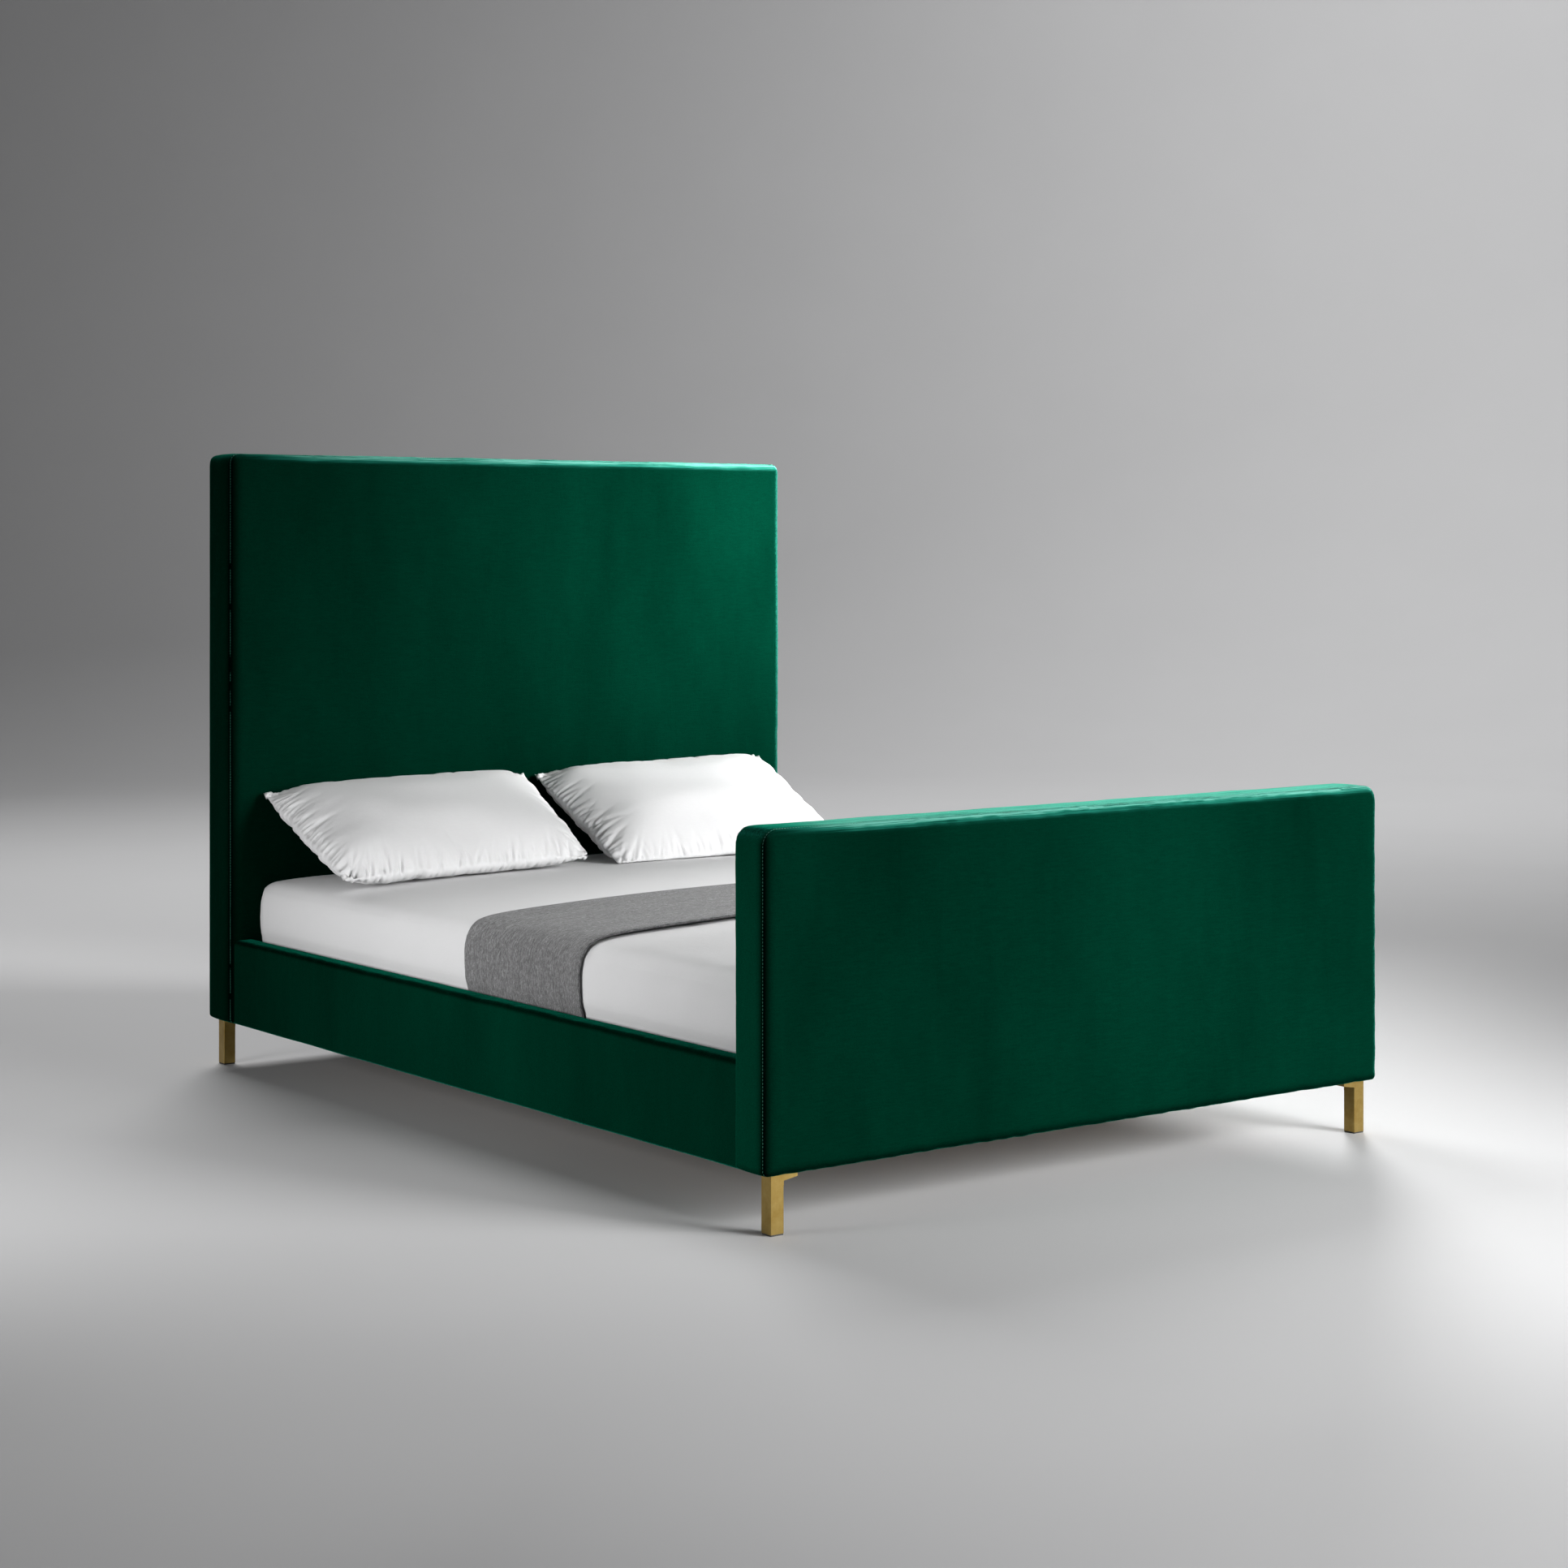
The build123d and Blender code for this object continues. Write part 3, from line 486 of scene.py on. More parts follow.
def outline_walk(rectangle, corners, inset, pitch):
    """Evenly spaced (place, direction) pairs along a rectangle with round corners, anticlockwise."""
    centres = inset_corners(rectangle, corners)
    walked = []
    for side, along in enumerate((Vector((1, 0)), Vector((0, 1)), Vector((-1, 0)), Vector((0, -1)))):
        outward = Vector((along.y, -along.x))
        start = centres[side] + outward * (corners[side] - inset)
        arc = corners[(side + 1) % 4] - inset
        end = centres[(side + 1) % 4]
        run = end + outward * arc - start
        straight = round(run.length / pitch)
        walked += [(start + run * (index / straight), along) for index in range(straight)]
        turns = max(2, round(arc * math.pi / 2 / pitch))
        for index in range(turns):
            angle = math.pi / 2 * index / turns
            place = end + (outward * math.cos(angle) + along * math.sin(angle)) * arc
            walked.append((place, along * math.cos(angle) - outward * math.sin(angle)))
    return walked


def round_section(rectangle, radii, step):
    """Points round a box with a radius of its own at each corner, anticlockwise from the low corner."""
    arcs = []
    for quarter, (centre, radius) in enumerate(zip(inset_corners(rectangle, radii), radii)):
        turns = max(3, round(radius * math.pi / 2 / ARC_STEP))
        for index in range(turns + 1):
            angle = math.radians(180 + 90 * (quarter + index / turns))
            arcs.append(centre + Vector((math.cos(angle), math.sin(angle))) * radius)
    section = []
    for here, after in zip(arcs, arcs[1:] + arcs[:1]):
        pieces = max(1, round((after - here).length / step))
        section += [here.lerp(after, index / pieces) for index in range(pieces)]
    return section


def add_capsule(points, faces, centre, direction, length, radius, flat=1.0):
    """Adds a small rod with pointed ends, such as one stitch or the back of one staple."""
    direction = Vector(direction).normalized()
    side = direction.cross(Vector((0, 1, 0)))
    depth = direction.cross(side)
    sides = 6
    first = len(points)
    stations = ((-0.5, 0.35), (-0.38, 1.0), (0.38, 1.0), (0.5, 0.35))
    for share, swell in stations:
        for index in range(sides):
            angle = 2 * math.pi * index / sides
            ring = side * math.cos(angle) * radius + depth * math.sin(angle) * radius * flat
            points.append(Vector(centre) + direction * length * share + ring * swell)
    for station in range(len(stations) - 1):
        start = first + station * sides
        for index in range(sides):
            after = (index + 1) % sides
            faces.append((start + index, start + after, start + sides + after, start + sides + index))
    last = first + (len(stations) - 1) * sides
    faces.append(tuple(first + index for index in reversed(range(sides))))
    faces.append(tuple(last + index for index in range(sides)))


# --- Velvet upholstery ---


def board_rows(edge, depth, back_insets):
    """Loops (inset, depth) of a board from its front edge round the seam and the band to its back."""
    rows = [(inset, 0.0) for inset in (0.052, 0.043, 0.035)]
    for degrees in (8, 17, 26, 35, 44, 53, 62, 70, 77, 83):
        angle = math.radians(degrees)
        rows.append((EDGE_RUN * (1 - math.sin(angle)), edge * (1 - math.cos(angle))))
    rows.append((0.25 * SEAM_DEPTH, edge - SEAM_HALF_WIDTH))
    rows.append((SEAM_DEPTH, edge))
    rows.append((0.30 * SEAM_DEPTH, edge + SEAM_HALF_WIDTH))
    start, end = edge + 2.5 * SEAM_HALF_WIDTH, depth - BACK_EDGE
    steps = max(6, round((end - start) / BOARD_CELL))
    for step in range(steps + 1):
        share = step / steps
        rows.append((-BAND_BULGE * math.sin(math.pi * share), start + (end - start) * share))
    for degrees in (25, 50, 72, 90):
        angle = math.radians(degrees)
        rows.append((BACK_EDGE * (1 - math.cos(angle)), end + BACK_EDGE * math.sin(angle)))
    return rows + [(inset, depth) for inset in back_insets]


def seam_puckers(points, rectangle, seam_y, seed):
    """How far the seam's small gathers push each point, running square to the seam."""
    close = np.exp(-np.abs(points[:, 1] - seam_y) / 0.013)
    close *= np.exp(-np.clip(edge_gap(points[:, (0, 2)], rectangle), 0, 1) / 0.012)
    return close * ripples(points, 0.0009, 0.030, seed, stretch=(1, 9, 1))


def corner_folds(points, rectangle, corner, seam_y):
    """The band's fabric folds where it turns over the two round upper corners."""
    low_a, _, high_a, high_b = rectangle
    total = np.zeros(len(points))
    behind = fade(points[:, 1], seam_y, seam_y + 0.010)
    for a, turn_a in ((low_a + corner, -1), (high_a - corner, 1)):
        for degrees in (14, 47, 78):
            angle = math.radians(degrees)
            fold_a = a + turn_a * math.cos(angle) * corner
            fold_b = high_b - corner + math.sin(angle) * corner
            total -= 0.0010 * near(np.hypot(points[:, 0] - fold_a, points[:, 2] - fold_b), 0.0045) * behind
    return total


def painted_seam_shading(points, rectangle, seam_y, board):
    """Painted lighting of a board: 1 in front, the band's painted lighting behind the seam at the left, and
    painted shade near 0 in the upright seams.
    """
    low_a, _, high_a, high_b = rectangle
    from_side = np.minimum(points[:, 0] - low_a, high_a - points[:, 0])
    from_top = high_b - points[:, 2]
    on_left = points[:, 0] < 0
    upright = fade(from_top - from_side, -0.010, 0.020)
    from_seam = np.hypot(np.clip(from_side, 0, 1), points[:, 1] - seam_y)
    depth = np.where(on_left, *PAINTED_SEAM_SHADE) * near(from_seam, board.shade) * upright
    on_band = fade(points[:, 1], seam_y, seam_y + 0.004) * upright * on_left
    return (1 - depth) * (1 + (board.band - 1) * on_band)


def set_painted_shading(piece, shade, lift, rim_painted_highlight):
    """Stores painted lighting: the shade given, with painted shade added where the surface faces down, and
    a painted highlight where the surface turns up.

    rim_painted_highlight is the painted highlight where the surface turns to the right.
    """
    right, _, rise = read_normals(piece).T
    # The attribute pile holds the painted lighting and shade, and lift holds the painted highlight
    store(piece, "pile", shade * (1 - (1 - UNDER_PAINTED_SHADE) * fade(-rise, 0.10, 0.60)) / PAINTED_SHADING_RANGE)
    store(piece, "lift", lift * fade(rise, 0.10, 0.80) + rim_painted_highlight * fade(right, 0.10, 0.60))


def board_layout(board):
    """A board's front as a rectangle (x, z), its four corner radii, its seam's y and its back's y."""
    low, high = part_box(f"{board.name}_cover")
    corners = (LOWER_CORNER, LOWER_CORNER, board.corner, board.corner)
    return (low.x, low.z, high.x, high.z), corners, low.y + board.crown, high.y


def velvet_board(board, material):
    """A padded board: crowned front, sunk seam, banded sides and rounded back edges."""
    rectangle, corners, seam_y, back_y = board_layout(board)
    front_y = seam_y - board.edge
    rows = board_rows(board.edge, back_y - front_y, board.back_insets)
    flat, faces = panel_surface(rectangle, corners, BOARD_MARGIN, BOARD_CELL, rows, board.back)
    points = np.column_stack([flat[:, 0], front_y + flat[:, 2], flat[:, 1]])
    in_front = 1 - fade(points[:, 1], front_y + 0.2 * board.edge, seam_y)
    points[:, 1] -= (board.crown - board.edge) * dome(flat, rectangle) * in_front
    piece = make_mesh(f"{board.name}_velvet", points, faces, material)
    lumps = ripples(points, 0.0007, 0.24, board.seed, stretch=(1, 1, 1.6))
    lumps += ripples(points, 0.0003, 0.07, board.seed + 1)
    lumps += seam_puckers(points, rectangle, seam_y, board.seed + 2)
    lumps += corner_folds(points, rectangle, board.corner, seam_y)
    if board.back == "flat":
        lumps *= 1 - fade(points[:, 1], back_y - BACK_EDGE, back_y - 0.3 * BACK_EDGE)
    push_out(piece, lumps)
    low_x, _, high_x, _ = rectangle
    # Painted lighting from the left end to the right, a painted highlight that fades out at the left end, a
    # painted highlight on the right rim in front of the seam, and painted shade in the seams
    tone = np.interp(points[:, 0], (low_x, high_x), board.painted_lighting_at_ends)
    lift = LEFT_END_PAINTED_HIGHLIGHT + (1 - LEFT_END_PAINTED_HIGHLIGHT) * fade(points[:, 0], 0.98 * low_x, 0.70 * low_x)
    rim_painted_highlight = RIGHT_RIM_PAINTED_HIGHLIGHT * (1 - fade(points[:, 1], seam_y - 0.002, seam_y + 0.002))
    set_painted_shading(piece, tone * painted_seam_shading(points, rectangle, seam_y, board), lift, rim_painted_highlight)
    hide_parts(f"{board.name}_cover", f"{board.name}_foam")
    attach(piece, "bed_frame")


def board_stitching(board, material):
    """The thread that shows in the sunk seam round a board's front."""
    rectangle, corners, seam_y, _ = board_layout(board)
    points, faces = [], []
    for place, direction in outline_walk(rectangle, corners, 0.15 * SEAM_DEPTH, STITCH_PITCH):
        centre = (place.x, seam_y + STITCH_BEHIND, place.y)
        add_capsule(points, faces, centre, (direction.x, 0, direction.y), STITCH_LENGTH, STITCH_RADIUS)
    piece = make_mesh(f"{board.name}_stitching", points, faces, material)
    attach(piece, "bed_frame")


def velvet_rail(side, outer, seed, material):
    """A side rail's padded cover, with a soft, uneven top edge. outer is -1 at the left, 1 at the right."""
    low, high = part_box(f"side_rail_{side}_cover")
    upper = (RAIL_INNER_ROUND, RAIL_OUTER_ROUND)[::outer]
    radii = (RAIL_LOWER_ROUND, RAIL_LOWER_ROUND, upper[1], upper[0])
    section = round_section((low.x, low.z, high.x, high.z), radii, RAIL_STEP)
    start, end = low.y - RAIL_TUCK, high.y
    stations = np.linspace(start, end, round((end - start) / RAIL_STEP) + 1)
    points = np.array([(p.x, y, p.y) for y in stations for p in section])
    count = len(section)
    faces = []
    for station in range(len(stations) - 1):
        first = station * count
        faces += bridge(list(range(first + count, first + 2 * count)), list(range(first, first + count)))
    faces.append(tuple(range(count)))
    faces.append(tuple(range(len(points) - 1, len(points) - 1 - count, -1)))
    piece = make_mesh(f"side_rail_{side}_velvet", points, faces, material)
    x, y, z = points.T
    outside = fade(outer * x, min(abs(low.x), abs(high.x)), max(abs(low.x), abs(high.x)))
    on_top = fade(z, high.z - 0.035, high.z)
    lumps = ripples(points, 0.0006, 0.30, seed) + on_top * ripples(points, 0.0011, 0.11, seed + 1)
    lumps += on_top * ripples(points, 0.0005, 0.035, seed + 2)
    away_from_ends = fade(y, low.y, low.y + 0.05) * (1 - fade(y, high.y - 0.05, high.y))
    push_out(piece, lumps * outside * away_from_ends)
    # Painted lighting from foot to head, and a painted highlight where the rail turns up
    set_painted_shading(piece, np.interp(y, (low.y, high.y), RAIL_PAINTED_LIGHTING), RAIL_PAINTED_HIGHLIGHT, 0.0)
    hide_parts(f"side_rail_{side}_cover", f"side_rail_{side}_foam")
    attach(piece, "bed_frame")


def dust_cloth(material):
    """The thin cloth that closes the headboard's back."""
    low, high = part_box("headboard_back_cloth")
    width, height = high.x - low.x, high.z - low.z
    across, up = round(width / DUST_CLOTH_CELL), round(height / DUST_CLOTH_CELL)
    xs, zs = np.linspace(low.x, high.x, across + 1), np.linspace(low.z, high.z, up + 1)
    points = np.array([(x, low.y, z) for z in zs for x in xs])
    inside = np.clip(edge_gap(points[:, (0, 2)], (low.x, low.z, high.x, high.z)) / 0.05, 0, 1)
    points[:, 1] += 0.0007 + inside * (0.0004 + ripples(points, 0.0005, 0.30, 71, stretch=(1, 1, 1.7)))
    piece = make_mesh("headboard_dust_cloth", points, grid_faces(across, up, flip=True), material)
    thicken(piece, DUST_CLOTH_THICK)
    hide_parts("headboard_back_cloth")
    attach(piece, "bed_frame")


def dust_cloth_staples(material):
    """The staples along the dust cloth's border."""
    low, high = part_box("headboard_back_cloth")
    rectangle = (low.x, low.z, high.x, high.z)
    points, faces = [], []
    for place, direction in outline_walk(rectangle, (STAPLE_CORNER,) * 4, STAPLE_INSET, STAPLE_PITCH):
        centre = (place.x, high.y + DUST_CLOTH_THICK, place.y)
        along = (direction.x, 0, direction.y)
        add_capsule(points, faces, centre, along, STAPLE_WIDTH, STAPLE_WIRE, flat=0.6)
    piece = make_mesh("headboard_staples", points, faces, material)
    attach(piece, "bed_frame")


# --- Mattress and sheet ---


def crown_drop(gap):
    """How far the dressed mattress's top lies below its highest point, a gap inside its edge."""
    gap = np.clip(gap, 0, SHEET_HALF_WIDTH)
    edge = 0.024 * np.exp(-gap / 0.012) + 0.014 * np.exp(-gap / 0.060)
    return edge + 0.020 * (1 - gap / SHEET_HALF_WIDTH) ** 2


def sheet_height(x, y):
    """Height of the sheet's top over the floor plan."""
    from_side = crown_drop(SHEET_HALF_WIDTH - np.abs(x))
    from_end = crown_drop(np.minimum(y - SHEET_LOW.y, SHEET_HIGH.y - y))
    return SHEET_TOP - (from_side**4 + from_end**4) ** 0.25


def side_bulge(z):
    """How far the mattress's side swells out over the rail, by height."""
    above_rail = fade(z, RAIL_TOP - 0.004, RAIL_TOP + 0.030)
    below_edge = 1 - fade(z, RAIL_TOP + 0.085, RAIL_TOP + 0.125)
    return SHEET_SIDE_BULGE * above_rail * below_edge


def sheet_rows(hem):
    """Loops (inset, depth below the top) of the sheet's border, side and hem."""
    border = (0.090, 0.072, 0.056, 0.042, 0.031, 0.022, 0.015, 0.010, 0.006, 0.003, 0.001)
    rows = [(inset, 0.0) for inset in border]
    bottom = SHEET_TOP - SHEET_BOTTOM
    rows += [(0.0, depth) for depth in np.linspace(SHEET_EDGE, bottom - HEM_ROUND, 16)]
    rows += [(0.0012, bottom - 0.007), (0.004, bottom - 0.003), (0.009, bottom - 0.0008)]
    return rows + [(inset, bottom) for inset in (0.017, 0.030, 0.045, hem)]


def bed_surface(gap, back, hem):
    """Points and faces of the dressed mattress's outer surface, drawn in by a gap."""
    rectangle = (SHEET_LOW.x + gap, SHEET_LOW.y + gap, SHEET_HIGH.x - gap, SHEET_HIGH.y - gap)
    corners = (SHEET_CORNER,) * 4
    flat, faces = panel_surface(rectangle, corners, SHEET_MARGIN, SHEET_CELL, sheet_rows(hem), back)
    x, y, depth = flat.T
    on_top = depth < 0.00005
    z = np.where(on_top, sheet_height(x, y) - gap, np.maximum(SHEET_TOP - depth, SHEET_BOTTOM + gap))
    swell = side_bulge(z) * fade(np.abs(x), 0.90 * SHEET_HALF_WIDTH, 0.97 * SHEET_HALF_WIDTH)
    x = x + np.sign(x) * swell * (z < SHEET_TOP - 0.05)
    return np.column_stack([x, y, z]), faces


def sheet_creases(points):
    """How far the sheet's soft folds push each point: faint on top, drawn to the corners on the sides."""
    x, y, z = points.T
    on_side = 1 - fade(z, SHEET_TOP - 0.075, SHEET_TOP - 0.035)
    above_rails = fade(z, RAIL_TOP - 0.010, RAIL_TOP + 0.040)
    corner_y = np.minimum(y - SHEET_LOW.y, SHEET_HIGH.y - y)
    near_corner = np.exp(-np.hypot(SHEET_HALF_WIDTH - np.abs(x), corner_y) / 0.16)
    slanted = np.column_stack([x, y + 0.9 * np.abs(z), z])
    amount = ripples(points, 0.0008, 0.55, 31) + ripples(points, 0.0004, 0.16, 32)
    amount += on_side * above_rails * ripples(slanted, 0.0010, 0.15, 33, stretch=(1, 1, 3))
    amount += near_corner * ripples(slanted, 0.0016, 0.05, 34, stretch=(1, 1, 4))
    return amount * fade(z, SHEET_BOTTOM + 0.005, SHEET_BOTTOM + 0.030)


def fitted_sheet(material):
    """The fitted sheet: one closed thin shell whose hem turns under the mattress."""
    points, faces = bed_surface(0.0, "open", HEM_WIDTH)
    piece = make_mesh("bed_sheet", points, faces, material)
    push_out(piece, sheet_creases(points) - SHEET_THICK)
    thicken(piece, SHEET_THICK)
    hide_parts("fitted_sheet")
    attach(piece, "mattress_set")


def mattress(material):
    """The mattress under the sheet, in its ticking."""
    points, faces = bed_surface(TICKING_INSET, "grid", TICKING_BORDER)
    piece = make_mesh("mattress_ticking", points, faces, material)
    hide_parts("mattress")
    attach(piece, "mattress_set")


# --- Throw ---


def throw_path():
    """The line that the throw follows across the bed: (x, z, outward x, outward z) from side to side."""
    half = []
    for z in np.arange(SHEET_BOTTOM + THROW_TUCK, SHEET_TOP - SHEET_EDGE, THROW_STEP):
        half.append((SHEET_HALF_WIDTH + float(side_bulge(z)), float(z)))
    gaps = [0.0, 0.003, 0.007, 0.012, 0.018, 0.026, 0.034]
    gaps += list(np.arange(0.044, SHEET_HALF_WIDTH, 1.5 * THROW_STEP))
    half += [(SHEET_HALF_WIDTH - gap, float(SHEET_TOP - crown_drop(gap))) for gap in gaps]
    right = np.array(half)
    line = np.vstack([right * (-1, 1), [(0.0, SHEET_TOP)], right[::-1]])
    slope = np.gradient(line, axis=0)
    slope /= np.linalg.norm(slope, axis=1)[:, None]
    return np.column_stack([line, -slope[:, 1], slope[:, 0]])


def throw_section(low_y, high_y):
    """The throw's cut along the bed: (y, height over the sheet), with its foot edge turned under."""
    rows = []
    roll_y = low_y + THROW_ROLL
    for y in np.arange(high_y, roll_y, -THROW_STEP):
        raised = 1 - float(fade(y - roll_y, 0.5 * THROW_TURN_BACK, 1.6 * THROW_TURN_BACK))
        rows.append((float(y), THROW_GAP + THROW_THICK + raised * THROW_ROLL_RISE))
    top, under = rows[-1][1], THROW_THICK + THROW_UNDER_GAP
    middle = (top + under) / 2
    for degrees in range(0, 181, 30):
        angle = math.radians(degrees)
        rows.append((roll_y - THROW_ROLL * math.sin(angle), middle + (top - middle) * math.cos(angle)))
    return rows + [(roll_y + THROW_TURN_BACK * share, under) for share in (0.3, 0.6, 0.8, 1.0)]


def bed_throw(material):
    """The woven throw across the bed, tucked in at both sides."""
    low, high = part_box("throw")
    path = throw_path()
    section = throw_section(low.y, high.y)
    walked = np.concatenate([[0], np.cumsum(np.linalg.norm(np.diff(path[:, :2], axis=0), axis=1))])
    points, cloth_places = [], []
    for y, lift in section:
        for (x, z, out_x, out_z), along in zip(path, walked):
            on_side = float(1 - fade(z, RAIL_TOP - 0.03, RAIL_TOP + 0.01))
            rise = lift * (1 - 0.45 * on_side)
            points.append((x + out_x * rise, y, z + out_z * rise))
            cloth_places.append((along, y, lift))
    points = np.array(points)
    edge_share = fade(np.abs(points[:, 1] - (low.y + high.y) / 2), 0.10, (high.y - low.y) / 2)
    on_top = fade(points[:, 2], RAIL_TOP + 0.01, RAIL_TOP + 0.08)
    points[:, 1] += edge_share * on_top * line_ripples(np.array(cloth_places)[:, 0], 0.0035, 0.45, 52)
    folds = ripples(points, 0.0007, 0.30, 53)
    folds += on_top * ripples(points, 0.0007, 0.12, 54, stretch=(2.5, 1, 1))
    points[:, 2] += np.clip(folds, -0.0004, 1) * on_top
    faces = grid_faces(len(path) - 1, len(section) - 1, flip=True)
    piece = make_mesh("bed_throw", points, faces, material)
    store(piece, "cloth_place", cloth_places)
    thicken(piece, THROW_THICK)
    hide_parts("throw")
    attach(piece, "mattress_set")


# --- Pillows ---


def sewn_bag(name, material, seed):
    """Two flat panels sewn together round their border, with a little filling to start from."""
    across, up = round(PILLOW_LENGTH / PILLOW_CELL), round(PILLOW_WIDTH / PILLOW_CELL)
    points, faces, rest = [], [], []
    index = {}
    for layer in (1, -1):
        for j in range(up + 1):
            for i in range(across + 1):
                on_border = i in (0, across) or j in (0, up)
                if on_border and layer < 0:
                    index[layer, i, j] = index[1, i, j]
                    continue
                u, v = 2 * i / across - 1, 2 * j / up - 1
                height = 0.030 * (1 - abs(u) ** 3) * (1 - abs(v) ** 3)
                index[layer, i, j] = len(points)
                points.append((u * PILLOW_LENGTH / 2, v * PILLOW_WIDTH / 2, layer * height))
                rest.append((u, v, 0.0 if on_border else layer))
    for layer in (1, -1):
        for j in range(up):
            for i in range(across):
                corners = ((i, j), (i + 1, j), (i + 1, j + 1), (i, j + 1))
                faces.append(tuple(index[layer, a, b] for a, b in corners)[::layer])
    points = np.array(points)
    shares = np.abs(points[:, :2]) * 2 / (PILLOW_LENGTH, PILLOW_WIDTH)
    inside = 1 - shares.max(1)
    points[:, 2] += ripples(points, 0.0012, 0.035, seed) * fade(inside, 0, 0.05)
    piece = make_mesh(name, points, faces, material)
    store(piece, "panel_place", rest)
    return piece


def inflate(piece, pressure):
    """Fills a sewn bag by cloth simulation and applies the result."""
    scene = bpy.context.scene
    modifier = piece.modifiers.new("filling", "CLOTH")
    cloth = modifier.settings
    cloth.quality = 5
    cloth.mass = 0.12
    cloth.tension_stiffness = 30
    cloth.compression_stiffness = 30
    cloth.shear_stiffness = 6
    cloth.bending_stiffness = 0.25
    cloth.use_pressure = True
    cloth.uniform_pressure_force = pressure
    cloth.effector_weights.gravity = 0
    scene.frame_start, scene.frame_end = 1, PILLOW_FRAMES
    modifier.point_cache.frame_start, modifier.point_cache.frame_end = 1, PILLOW_FRAMES
    for number in range(1, PILLOW_FRAMES + 1):
        scene.frame_set(number)
    apply_modifiers(piece)
    scene.frame_set(1)


def panel_places(piece):
    """Each point's place on its panel: across and up from -1 to 1, and the side, 0 at the seam."""
    return read_vectors(piece.data.attributes["panel_place"].data, "vector")


def smooth_filling(piece):
    """Smooths the folds out of a filled bag, but not its seam."""
    off_seam = np.flatnonzero(panel_places(piece)[:, 2] != 0)
    inside = piece.vertex_groups.new(name="inside")
    inside.add([int(index) for index in off_seam], 1.0, "REPLACE")
    modify(piece, "SMOOTH", factor=0.5, iterations=PILLOW_SMOOTHING, vertex_group="inside")
    piece.vertex_groups.clear()


def lay_straight(places, length, width, seed):
    """Plan of a pillow's points, with slightly wavy sides that pull in a little between the corners."""
    u, v, _ = places.T
    wave_x = line_ripples(v * width / 2 + 3 * np.sign(u), 0.0030, 0.085, seed) * (1 - np.abs(v) ** 3)
    wave_y = line_ripples(u * length / 2 + 3 * np.sign(v), 0.0026, 0.085, seed + 1) * (1 - np.abs(u) ** 5)
    x = u * (length / 2 * (1 - SIDE_PULL * (1 - v**2) ** 2) + wave_x * u**2)
    y = v * (width / 2 * (1 - SIDE_PULL * (1 - u**2) ** 2) + wave_y * v**2)
    return x, y


def filled_section(places, fill, length, width):
    """Height of a pillow's points, from its fill of 0 to 1, with ears and knots at the four corners."""
    u, v, side = places.T
    corner_gap = np.hypot((1 - np.abs(u)) * length / 2, (1 - np.abs(v)) * width / 2)
    ears = 1 - EAR_SQUASH * near(corner_gap, EAR_REACH)
    knots = KNOT_HEIGHT * near(corner_gap - KNOT_INSET, KNOT_WIDTH) * np.sign(side)
    upper = PILLOW_LOFT * UPPER_SHARE * fill**UPPER_FULLNESS
    lower = -PILLOW_LOFT * (1 - UPPER_SHARE) * fill**LOWER_FULLNESS
    return np.where(side > 0, upper, lower) * ears * (np.abs(side) > 0) + knots


def pillow_puckers(places, seed):
    """How far the creases and gathers along the seam push each point of a pillow."""
    draws = np.random.default_rng(seed)
    u, v, layers = places.T
    gap_u, along_u = (1 - np.abs(u)) * PILLOW_LENGTH / 2, u * PILLOW_LENGTH / 2
    gap_v, along_v = (1 - np.abs(v)) * PILLOW_WIDTH / 2, v * PILLOW_WIDTH / 2
    total = np.zeros(len(places))
    seams = ((gap_v, along_u, v, PILLOW_LENGTH), (gap_u, along_v, u, PILLOW_WIDTH))
    for gap, along, which, length in seams:
        for side, layer in ((-1, -1), (-1, 1), (1, -1), (1, 1)):
            chosen = (which * side > 0) & (layers * layer >= 0) & (gap < 0.12)
            for start in np.arange(-length / 2, length / 2, CREASE_PITCH):
                place = start + draws.uniform(0, CREASE_PITCH)
                to_corner = length / 2 - abs(place)
                reach = draws.uniform(*CREASE_REACH) + draws.uniform(0, CREASE_LONGER) * draws.random() ** 2
                depth = draws.uniform(*CREASE_DEPTH) * (1 + 0.9 * math.exp(-to_corner / 0.060))
                slant = draws.normal() * 0.25 - 0.5 * math.copysign(math.exp(-to_corner / 0.08), place)
                width = draws.uniform(*CREASE_WIDTH) + 0.05 * gap[chosen]
                offset = along[chosen] - place - slant * gap[chosen]
                run = fade(gap[chosen], 0.0, 0.006) * near(gap[chosen], reach)
                total[chosen] -= depth * run * near(offset, width)
    corner, fan = np.hypot(gap_u, gap_v), np.arctan2(gap_v, gap_u)
    fanned = np.sin(fan * 17 + 3 * layers) * fade(corner, 0.0, 0.02)
    return total + 0.0016 * np.exp(-corner / 0.050) * fanned


